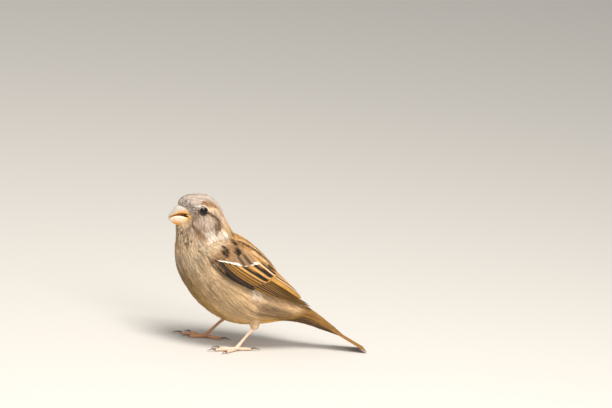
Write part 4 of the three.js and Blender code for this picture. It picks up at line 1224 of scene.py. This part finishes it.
# Soft pads of small feathers on the wing: where they lie in t and q, how the dome over them rises, and
# how their feathers are set: spacing along and across, length and width at the front and at the back.
WING_PADS = [
    {"name": "scapulars", "t": (-0.08, 0.56), "q": (-0.14, 0.38), "skew": 0.0, "base": 0.4, "thickness": 2.7,
     "spacing": (1.1, 0.62), "length": (6.0, 9.0), "width": (3.0, 3.4), "depth": 0.7, "last": 0.82,
     "colours": scapular_colours},
    {"name": "lesser_coverts", "t": (-0.13, 0.19), "q": (0.14, 1.0), "skew": 0.20, "base": 0.9,
     "thickness": 2.7, "spacing": (0.85, 0.62), "length": (4.4, 5.4), "width": (2.4, 3.0), "depth": 0.8,
     "last": 0.86,
     "colours": shoulder_colours},
]
PAD_SHAPE = (90, 60)  # points along and across a pad's surface


def add_wing_pad(side_name, side, pad, rng):
    """Soft small feathers over a dome on the wing, with the dome itself as their skin."""
    node = f"wing_{side_name}_{pad['name']}"
    u, v = np.meshgrid(np.linspace(0, 1, PAD_SHAPE[0]), np.linspace(0, 1, PAD_SHAPE[1]), indexing="ij")

    def sheet_place(u, v):
        q = mix(*pad["q"], v)
        return mix(*pad["t"], u) + pad["skew"] * (0.5 - q), q

    def dome(sunk):
        t, q = sheet_place(u, v)
        return mirrored(on_wing(t, q, pad_height(pad, t, q) - sunk), side)

    def colours(u, v):
        return pad["colours"](*sheet_place(u, v))
    surface = Surface(dome(0.0), wraps=False, outward=mirrored(WING_FACES, side))
    piece = Piece(node, MATERIALS["coat"], "wing_feathers", [node])
    colour = colours(u, v)[0]
    sunk = pad["depth"] - 0.1
    under = np.concatenate([dome(sunk), dome(sunk + 0.4)[:, ::-1]], 1)
    rows = np.concatenate([[0], np.arange(len(under)), [len(under) - 1]])
    under = under[rows]
    under[[0, -1]] = under[[0, -1]].mean(1, keepdims=True)
    tint = np.concatenate([colour, colour[:, ::-1]], 1)[rows] * SKIN_SHADE
    add_closed(piece, under, tint)
    along, across = pad["spacing"]
    roots = scatter(surface, lambda u: along, lambda u: across, rng)
    roots = roots[roots[:, 0] < pad["last"]]
    length, width = mix(*pad["length"], roots[:, 0]), mix(*pad["width"], roots[:, 0])
    grow_feathers(piece, surface, roots, length, width, np.full(len(roots), pad["depth"]), colours, 7, rng,
                  region_map((0, 1), (0, 1), False), 0.6)
    piece.build()


def add_wings():
    """Both wings, with the same random numbers so that they mirror each other."""
    for side_name, side in (("left", 1), ("right", -1)):
        rng = np.random.default_rng(WING_SEED)
        for group in WING_GROUPS:
            add_wing_group(side_name, side, group, rng)
        for pad in WING_PADS:
            add_wing_pad(side_name, side, pad, rng)


TAIL_HALF, TAIL_VANE_HALF = 1.3, 1.35  # half width of a tail feather in its pattern and in its shape
TAIL_LAYER = 0.22  # each pair lies this far below the one inside it
TAIL_DROP = 0.15  # the whole fan lies this far below its line
TAIL_FLOOR = 0.02  # no tail feather goes nearer to the floor


def tail_pattern(c, s, half_mm, length_mm):
    """Dull brown with a pink-tan outer edge, darker along the shaft."""
    colour = blend_colour(plain(TAIL_BROWN, c), TAIL_DARK, np.exp(-(c / 0.25) ** 2) * 0.5)
    return fringed(colour, c, s, half_mm, length_mm, TAIL_PINK, 0.5, TAIL_PINK * 0.8, 0.5)


def add_tail():
    """Twelve feathers in a nearly closed fan, the middle pair on top."""
    rng = np.random.default_rng(TAIL_SEED)
    piece = Piece("tail", MATERIALS["tail"], "tail_feathers", ["tail"])
    length = np.linalg.norm(TAIL_TIP - TAIL_ROOT)
    up = unit(np.cross(TAIL_TIP - TAIL_ROOT, [-1.0, 0, 0]))
    for i in range(TAIL_FEATHERS):
        layer = abs(i - (TAIL_FEATHERS - 1) / 2) - 0.5
        outwards = -1 if i < TAIL_FEATHERS / 2 else 1
        tone = rng.uniform(0.9, 1.1)

        def place(c, s, drop):
            half = TAIL_VANE_HALF * vane_width(s, 0.7, 0.2, 0.93)
            k = (i + 0.5 + outwards * (-0.25 - c * half)) / TAIL_FEATHERS
            side = 2 * k - 1
            reach = s * (1 - TAIL_NOTCH * (1 - np.abs(side)) / length)
            point = mix(TAIL_ROOT, TAIL_TIP, reach[..., None])
            point[..., 0] = side * mix(TAIL_ROOT_WIDTH, TAIL_TIP_WIDTH, s) / 2
            sag = TAIL_SAG * np.sin(s * math.pi)
            rise = -layer * TAIL_LAYER - sag + TAIL_CAMBER * (1 - c ** 2) - drop - TAIL_DROP
            point = point + up * rise[..., None]
            point[..., 2] = np.maximum(point[..., 2], TAIL_FLOOR)
            return point

        def colour(c, s):
            return tail_pattern(c, s, TAIL_HALF, length) * tone
        add_vane(piece, place, colour, TAIL_HALF, length, i, TAIL_FEATHERS, stations=44)
    piece.build()


# ---------------------------------------------------------------- bill, mouth and eyes


MANDIBLE_ENDS = np.array([[0, 0.5, 0], [0, -0.1, 0]])  # how far the two ends close inwards
FLOOR_BOW = 0.25  # how far the floor bows towards the roof


def mandible(piece, shape, colour):
    """A mandible: rings from the face to the tip, each with a rounded roof over a floor bowed inwards."""
    steps, arc, floor = 48, 25, 9
    u = np.linspace(0, 1, steps)[:, None]
    roof, edge = spline(shape["roof"], u), spline(shape["edge"], u)
    half = spline(shape["half_width"], u)[..., 0]
    angle = np.linspace(0, np.pi, arc)[None]
    lift = np.sin(angle) ** 0.8
    x = half * np.cos(angle)
    plane = mix(edge, roof, lift[..., None])
    outside = np.stack([x, plane[..., 0], plane[..., 1]], -1)
    across = np.linspace(-1, 1, floor + 2)[None, 1:-1]
    sunk = mix(edge, roof, (FLOOR_BOW * (1 - across ** 2))[..., None])
    inside = np.stack([half * across, np.broadcast_to(sunk[..., 0], (steps, floor)), sunk[..., 1]], -1)
    ring = np.concatenate([outside, inside], 1)
    share = np.concatenate([lift[0] * np.ones(arc), np.zeros(floor)])[None] * np.ones((steps, 1))
    lining = np.concatenate([np.zeros(arc), np.ones(floor)])[None] * np.ones((steps, 1))
    tint = colour(np.broadcast_to(u, share.shape), share, lining)
    add_closed(piece, closed_ends(turned_with_head(ring), MANDIBLE_ENDS), tint)


HORN_GREY = np.array([0.56, 0.49, 0.44])
HORN_DARK = np.array([0.36, 0.29, 0.27])
HORN_EDGE = np.array([0.86, 0.42, 0.10])
HORN_PEACH = np.array([0.90, 0.73, 0.56])
HORN_ORANGE = np.array([0.86, 0.36, 0.06])
GAPE_YELLOW = np.array([0.86, 0.50, 0.12])
# Painted shadow inside the open mouth.
MOUTH_PAINTED_SHADOW = np.array([0.05, 0.018, 0.014])
MOUTH_PINK = np.array([0.55, 0.22, 0.17])


def upper_horn(u, share, lining):
    """Grey horn over an orange-brown cutting edge, darker at the tip; share is the height over the edge."""
    colour = blend_colour(HORN_EDGE, HORN_GREY, smoothstep(share, 0.15, 0.42 + 0.25 * (1 - u)))
    colour = blend_colour(colour, HORN_DARK, smoothstep(u, 0.8, 1.0) * 0.5)
    return blend_colour(colour, HORN_EDGE, lining)


def lower_horn(u, share, lining):
    """Peach horn, orange below and yellow at the gape, grey at the tip."""
    low = smoothstep(share, 0.35, 0.8) * (1 - smoothstep(u, 0.6, 0.85))
    colour = blend_colour(plain(HORN_PEACH, u), HORN_ORANGE, low)
    past_gape = np.maximum(smoothstep(u, 0.12, 0.4), smoothstep(share, 0.3, 0.6))
    colour = blend_colour(GAPE_YELLOW, colour, past_gape)
    colour = blend_colour(colour, HORN_GREY, smoothstep(u, 0.8, 1.0) * 0.5)
    return blend_colour(colour, mix(HORN_EDGE, MOUTH_PINK, 0.4), lining * smoothstep(u, 0.2, 0.5))


def add_bill():
    """Both mandibles, slightly apart."""
    for name, shape, colour in (("bill_upper", UPPER_BILL, upper_horn),
                                ("bill_lower", LOWER_BILL, lower_horn)):
        piece = Piece(name, MATERIALS["bill"], name, [name])
        mandible(piece, shape, colour)
        piece.build()


def tube(piece, path, radii, colour, stretch=(1.0, 1.0)):
    """A closed tube along a path whose section is an ellipse, stretched across and up."""
    steps, around = 24, 12
    u = np.linspace(0, 1, steps)
    centre = spline(path, u)
    forward = unit(np.gradient(centre, axis=0))
    side = unit(np.cross(forward, [0, 0, 1.0]) + 1e-6)
    up = np.cross(side, forward)
    angle = 2 * np.pi * np.arange(around) / around
    ring = (side[:, None] * (stretch[0] * np.cos(angle))[None, :, None]
            + up[:, None] * (stretch[1] * np.sin(angle))[None, :, None])
    points = centre[:, None] + ring * spline(radii, u)[:, None]
    points = closed_ends(turned_with_head(points), np.zeros((2, 3)))
    add_closed(piece, points, np.tile(colour, points.shape[:2] + (1,)))


def add_mouth():
    """Tongue, a near-black tube behind it that is painted shadow in the open mouth, and the soft yellow fold
    at each corner of the mouth.
    """
    tongue = Piece("tongue", MATERIALS["mouth"], "tongue", ["tongue"])
    tube(tongue, [TONGUE_ROOT, mix(TONGUE_ROOT, TONGUE_TIP, 0.5), TONGUE_TIP], [1.7, 1.3, 0.5], MOUTH_PINK,
         stretch=(1.0, 0.3))
    tongue.build()
    lining = Piece("mouth_lining", MATERIALS["mouth"], "tongue")
    # A near-black tube behind the tongue: painted shadow in the open mouth.
    tube(lining, [[0, -29.0, 75.6], [0, -32.0, 75.9], [0, -34.6, 76.2]], [5.4, 5.0, 3.2], MOUTH_PAINTED_SHADOW,
         stretch=(0.9, 0.34))
    for side in (-1, 1):
        fold = [[side * 4.5, -33.6, 77.0], [side * 5.0, -31.8, 76.4], [side * 5.2, -31.0, 75.9],
                [side * 4.9, -31.8, 75.4], [side * 4.3, -33.6, 75.3]]
        tube(lining, fold, [0.15, 0.5, 0.75, 0.5, 0.15], GAPE_YELLOW)
    lining.build()


EYE_BLACK = np.array([0.002, 0.0015, 0.0015])
IRIS_BROWN = np.array([0.014, 0.006, 0.003])
LID_BROWN = np.array([0.22, 0.155, 0.11])
LID_PALE = np.array([0.50, 0.39, 0.30])
LID_DARK = np.array([0.03, 0.02, 0.014])
LID_SPREAD = 24  # degrees from the opening's rim to where the lid sinks in
LID_GAP, LID_PUFF, LID_SINK = 0.04, 0.18, 0.35  # over the eyeball at the rim, where fullest, and at its end
LID_THICKNESS = 0.35


def eye_cap(side, polar, around, radius):
    """Point on the eyeball: polar angle from the outward axis, and the angle around it."""
    local = np.stack([np.cos(polar), np.sin(polar) * np.cos(around), np.sin(polar) * np.sin(around)], -1)
    return mirrored(EYE_CENTRE + EYE_SHIFT + radius[..., None] * (local @ EYE_AXES), side)


def add_eyes():
    """Glossy eyeballs with a dark brown iris, and lids: a soft closed rim round an oval opening."""
    for name, side in (("left", 1), ("right", -1)):
        ball = Piece(f"eye_{name}", MATERIALS["eye"], "eye", [f"eye_{name}"])
        polar, around = np.meshgrid(np.linspace(0, np.pi, 40), 2 * np.pi * np.arange(48) / 48, indexing="ij")
        points = turned_with_head(eye_cap(side, polar, around, np.full(polar.shape, EYE_RADIUS)))
        iris = smoothstep(polar, math.radians(24), math.radians(27)) * (1 - smoothstep(
            polar, math.radians(40), math.radians(46)))
        tint = blend_colour(plain(EYE_BLACK, polar), IRIS_BROWN, iris)
        add_closed(ball, points, tint)
        ball.build()

        lid = Piece(f"eyelids_{name}", MATERIALS["lid"], "plumage")
        outer = np.linspace(0, 1, 14)
        there_and_back = np.concatenate([outer, outer[::-2], [0]])
        spread, around = np.meshgrid(there_and_back, 2 * np.pi * np.arange(72) / 72, indexing="ij")
        opening = 1 / np.sqrt((np.cos(around) / EYE_OPENING[0]) ** 2 + (np.sin(around) / EYE_OPENING[1]) ** 2)
        polar = np.arcsin(opening / EYE_RADIUS) + spread * math.radians(LID_SPREAD)
        puff = LID_PUFF * np.sin(np.clip(spread * 3, 0, 1) * np.pi / 2)
        puff = puff - LID_SINK * smoothstep(spread, 0.35, 1)
        radius = EYE_RADIUS + LID_GAP + puff
        radius[len(outer):-1] -= LID_THICKNESS
        points = turned_with_head(eye_cap(side, polar, around, radius))
        top = smoothstep(np.sin(around), -0.2, 0.5)
        tint = blend_colour(plain(LID_BROWN, polar), LID_PALE, top * smoothstep(spread, 0.12, 0.3))
        tint = blend_colour(tint, LID_DARK, 1 - smoothstep(spread, 0.08, 0.35))
        add_closed(lid, points, tint)
        lid.build()


# ---------------------------------------------------------------- legs

# Both legs are one pink; the left leg's colour is lightened with painted light and the right leg's darkened
# with painted shade.
LEFT_LEG_PINK_PAINTED_LIGHT = np.array([0.88, 0.64, 0.50])
RIGHT_LEG_PAINTED_SHADE = np.array([0.66, 0.34, 0.18])  # the same leg colour with painted shade: the right leg darker and browner
LEG_BROWN = np.array([0.42, 0.24, 0.14])
CLAW_DARK = np.array([0.10, 0.065, 0.045])


def scaled_limb(piece, path, radii, scutes, base, edge, around=20, steps=60):
    """A bare limb with plates along its front or top: each swells towards its end and steps back.

    No point goes under the floor."""
    u = np.broadcast_to(np.linspace(0, 1, steps)[:, None], (steps, around))
    surface = limb_surface(path, radii, steps, around)
    saw = (u * scutes) % 1
    front = smoothstep(-surface.normals[..., 1] + 0.6 * surface.normals[..., 2], 0.0, 0.5)
    swell = 0.07 * (saw - 0.5) * front
    points = surface.points + surface.normals * swell[..., None]
    joint = (1 - smoothstep(saw, 0.0, 0.16)) * front
    tint = blend_colour(plain(base, u), edge, joint * 0.8)
    tint = blend_colour(tint, edge, (1 - front) * 0.35)
    points = closed_ends(points, np.zeros((2, 3)))
    points[..., 2] = np.maximum(points[..., 2], 0.0)
    add_closed(piece, points, tint)


def toe_path(leg, angle):
    """Function from distance and height to a point along a toe."""
    turn = math.radians(leg["side"] * (leg["turn"] + angle))
    ahead = np.array([math.sin(turn), -math.cos(turn), 0])
    foot = np.array([leg["foot"][0], leg["foot"][1], 0])
    return lambda distance, height: foot + ahead * distance + np.array([0, 0, height])


def add_legs():
    """Tarsi, the balls of the feet, toes and claws; each toe has its own solid."""
    for label, leg in LEGS.items():
        # The left leg takes the lit copy of the leg colours, with painted light, and the right leg the shaded
        # copy, with painted shade.
        base, edge = (LEFT_LEG_PINK_PAINTED_LIGHT, LEG_BROWN * 1.1) if label == "left" else (RIGHT_LEG_PAINTED_SHADE, LEG_BROWN)
        heel, foot = np.array(leg["heel"]), np.array(leg["foot"])
        shank = Piece(f"tarsus_{label}", MATERIALS["leg"], "legs", [f"tarsus_{label}"])
        scaled_limb(shank, [heel, mix(heel, foot, 0.5) + [0, 0, 0.5], foot], TARSUS_RADII, 9, base, edge)
        ball = [[foot[0], foot[1], FOOT_RADIUS - 0.2 + h] for h in (1.6, 0.0, -1.6)]
        scaled_limb(shank, ball, [0.5, FOOT_RADIUS, 0.5], 2, base, edge, steps=20)
        shank.build()
        for number, angle, length, claw, radius in TOES:
            on = toe_path(leg, angle)
            low = radius - 0.08
            path = [on(0, low + 0.5), on(0.35 * length, low), on(0.7 * length, low), on(length, low - 0.1)]
            toe = Piece(f"toe_{label}_{number}", MATERIALS["leg"], "legs", [f"toe_{label}_{number}"])
            scaled_limb(toe, path, [share * radius for share in TOE_RADII], 7, base, edge, around=16)
            toe.build()
            nail = Piece(f"claw_{label}_{number}", MATERIALS["claw"], "claws", [f"claw_{label}_{number}"])
            start = length - 0.2
            curve = [on(start, 0.95), on(start + claw * 0.45, 1.35), on(start + claw + 0.2, 0.3)]
            scaled_limb(nail, curve, CLAW_RADII, 1, CLAW_DARK * 1.6, CLAW_DARK, around=14, steps=24)
            nail.build()


# ---------------------------------------------------------------- floor, light and camera

VIEW_AZIMUTH, VIEW_ELEVATION, VIEW_ROLL = math.radians(72), math.radians(12), math.radians(7)
VIEW_SCALE = 1.7  # pixels for each millimetre in a frame 612 by 408
VIEW_ORIGIN = (226, 344)  # where the bird's origin lies in that frame
FRAME_SIZE = (612, 408)
LENS, SENSOR = 300, 36
FLOOR_SIZE, FLOOR_SINK = 12.0, 0.0002


def view_axes():
    """Right, up and towards-the-viewer directions of the camera."""
    a, e, roll = VIEW_AZIMUTH, VIEW_ELEVATION, VIEW_ROLL
    level = np.array([math.cos(a), math.sin(a), 0])
    tilted = np.array([-math.sin(a) * math.sin(e), math.cos(a) * math.sin(e), math.cos(e)])
    right = level * math.cos(roll) + tilted * math.sin(roll)
    up = tilted * math.cos(roll) - level * math.sin(roll)
    return right, up, np.cross(right, up)


def add_facing(name, data, axes, place):
    """Adds a camera or a light at a place, with its right, up and backward axes."""
    thing = bpy.data.objects.new(name, data)
    matrix = np.eye(4)
    matrix[:3, :3] = np.column_stack(axes)
    matrix[:3, 3] = place
    thing.matrix_world = Matrix(matrix.tolist())
    bpy.context.scene.collection.objects.link(thing)
    return thing


def add_camera():
    """A long lens, so that the frame shows the bird at its scale and place."""
    right, up, back = view_axes()
    aside = (FRAME_SIZE[0] / 2 - VIEW_ORIGIN[0]) / VIEW_SCALE
    above = (VIEW_ORIGIN[1] - FRAME_SIZE[1] / 2) / VIEW_SCALE
    distance = FRAME_SIZE[0] / VIEW_SCALE * LENS / SENSOR
    place = (right * aside + up * above + back * distance + ROW_SHIFT) * MM
    data = bpy.data.cameras.new("camera")
    data.lens, data.sensor_width = LENS, SENSOR
    data.clip_start, data.clip_end = 0.1, 50.0
    bpy.context.scene.camera = add_facing("camera", data, [right, up, back], place)


def add_light(name, place, power, size, colour):
    """A soft square light that faces the bird."""
    data = bpy.data.lights.new(name, "AREA")
    data.energy, data.size, data.color = power, size, colour
    back = unit(np.array(place, float))
    right = unit(np.cross([0, 0, 1.0], back))
    add_facing(name, data, [right, np.cross(back, right), back], place)


def add_stage():
    """A pale floor, soft surroundings and two lights."""
    mesh = bpy.data.meshes.new("floor")
    h = FLOOR_SIZE / 2
    corners = [(-h, -h, -FLOOR_SINK), (h, -h, -FLOOR_SINK), (h, h, -FLOOR_SINK), (-h, h, -FLOOR_SINK)]
    mesh.from_pydata(corners, [], [(0, 1, 2, 3)])
    paper = bpy.data.materials.new("pale_floor")
    paper.use_nodes = True
    shader = next(n for n in paper.node_tree.nodes if n.type == "BSDF_PRINCIPLED")
    shader.inputs["Base Color"].default_value = (0.60, 0.585, 0.56, 1)
    shader.inputs["Roughness"].default_value = 0.9
    mesh.materials.append(paper)
    floor = bpy.data.objects.new("floor", mesh)
    bpy.context.scene.collection.objects.link(floor)

    world = bpy.data.worlds.new("studio")
    world.use_nodes = True
    background = next(n for n in world.node_tree.nodes if n.type == "BACKGROUND")
    background.inputs["Color"].default_value = (1.0, 0.97, 0.93, 1)
    background.inputs["Strength"].default_value = 0.5
    bpy.context.scene.world = world
    add_light("key", (0.5, 0.0, 1.3), 22, 0.6, (1.0, 0.95, 0.88))
    add_light("fill", (1.0, 0.14, 0.76), 5, 0.5, (1.0, 0.96, 0.9))
    bpy.context.scene.view_settings.view_transform = "Standard"


add_camera()
add_stage()
add_body()
add_bill()
add_mouth()
add_eyes()
add_wings()
add_tail()
add_legs()
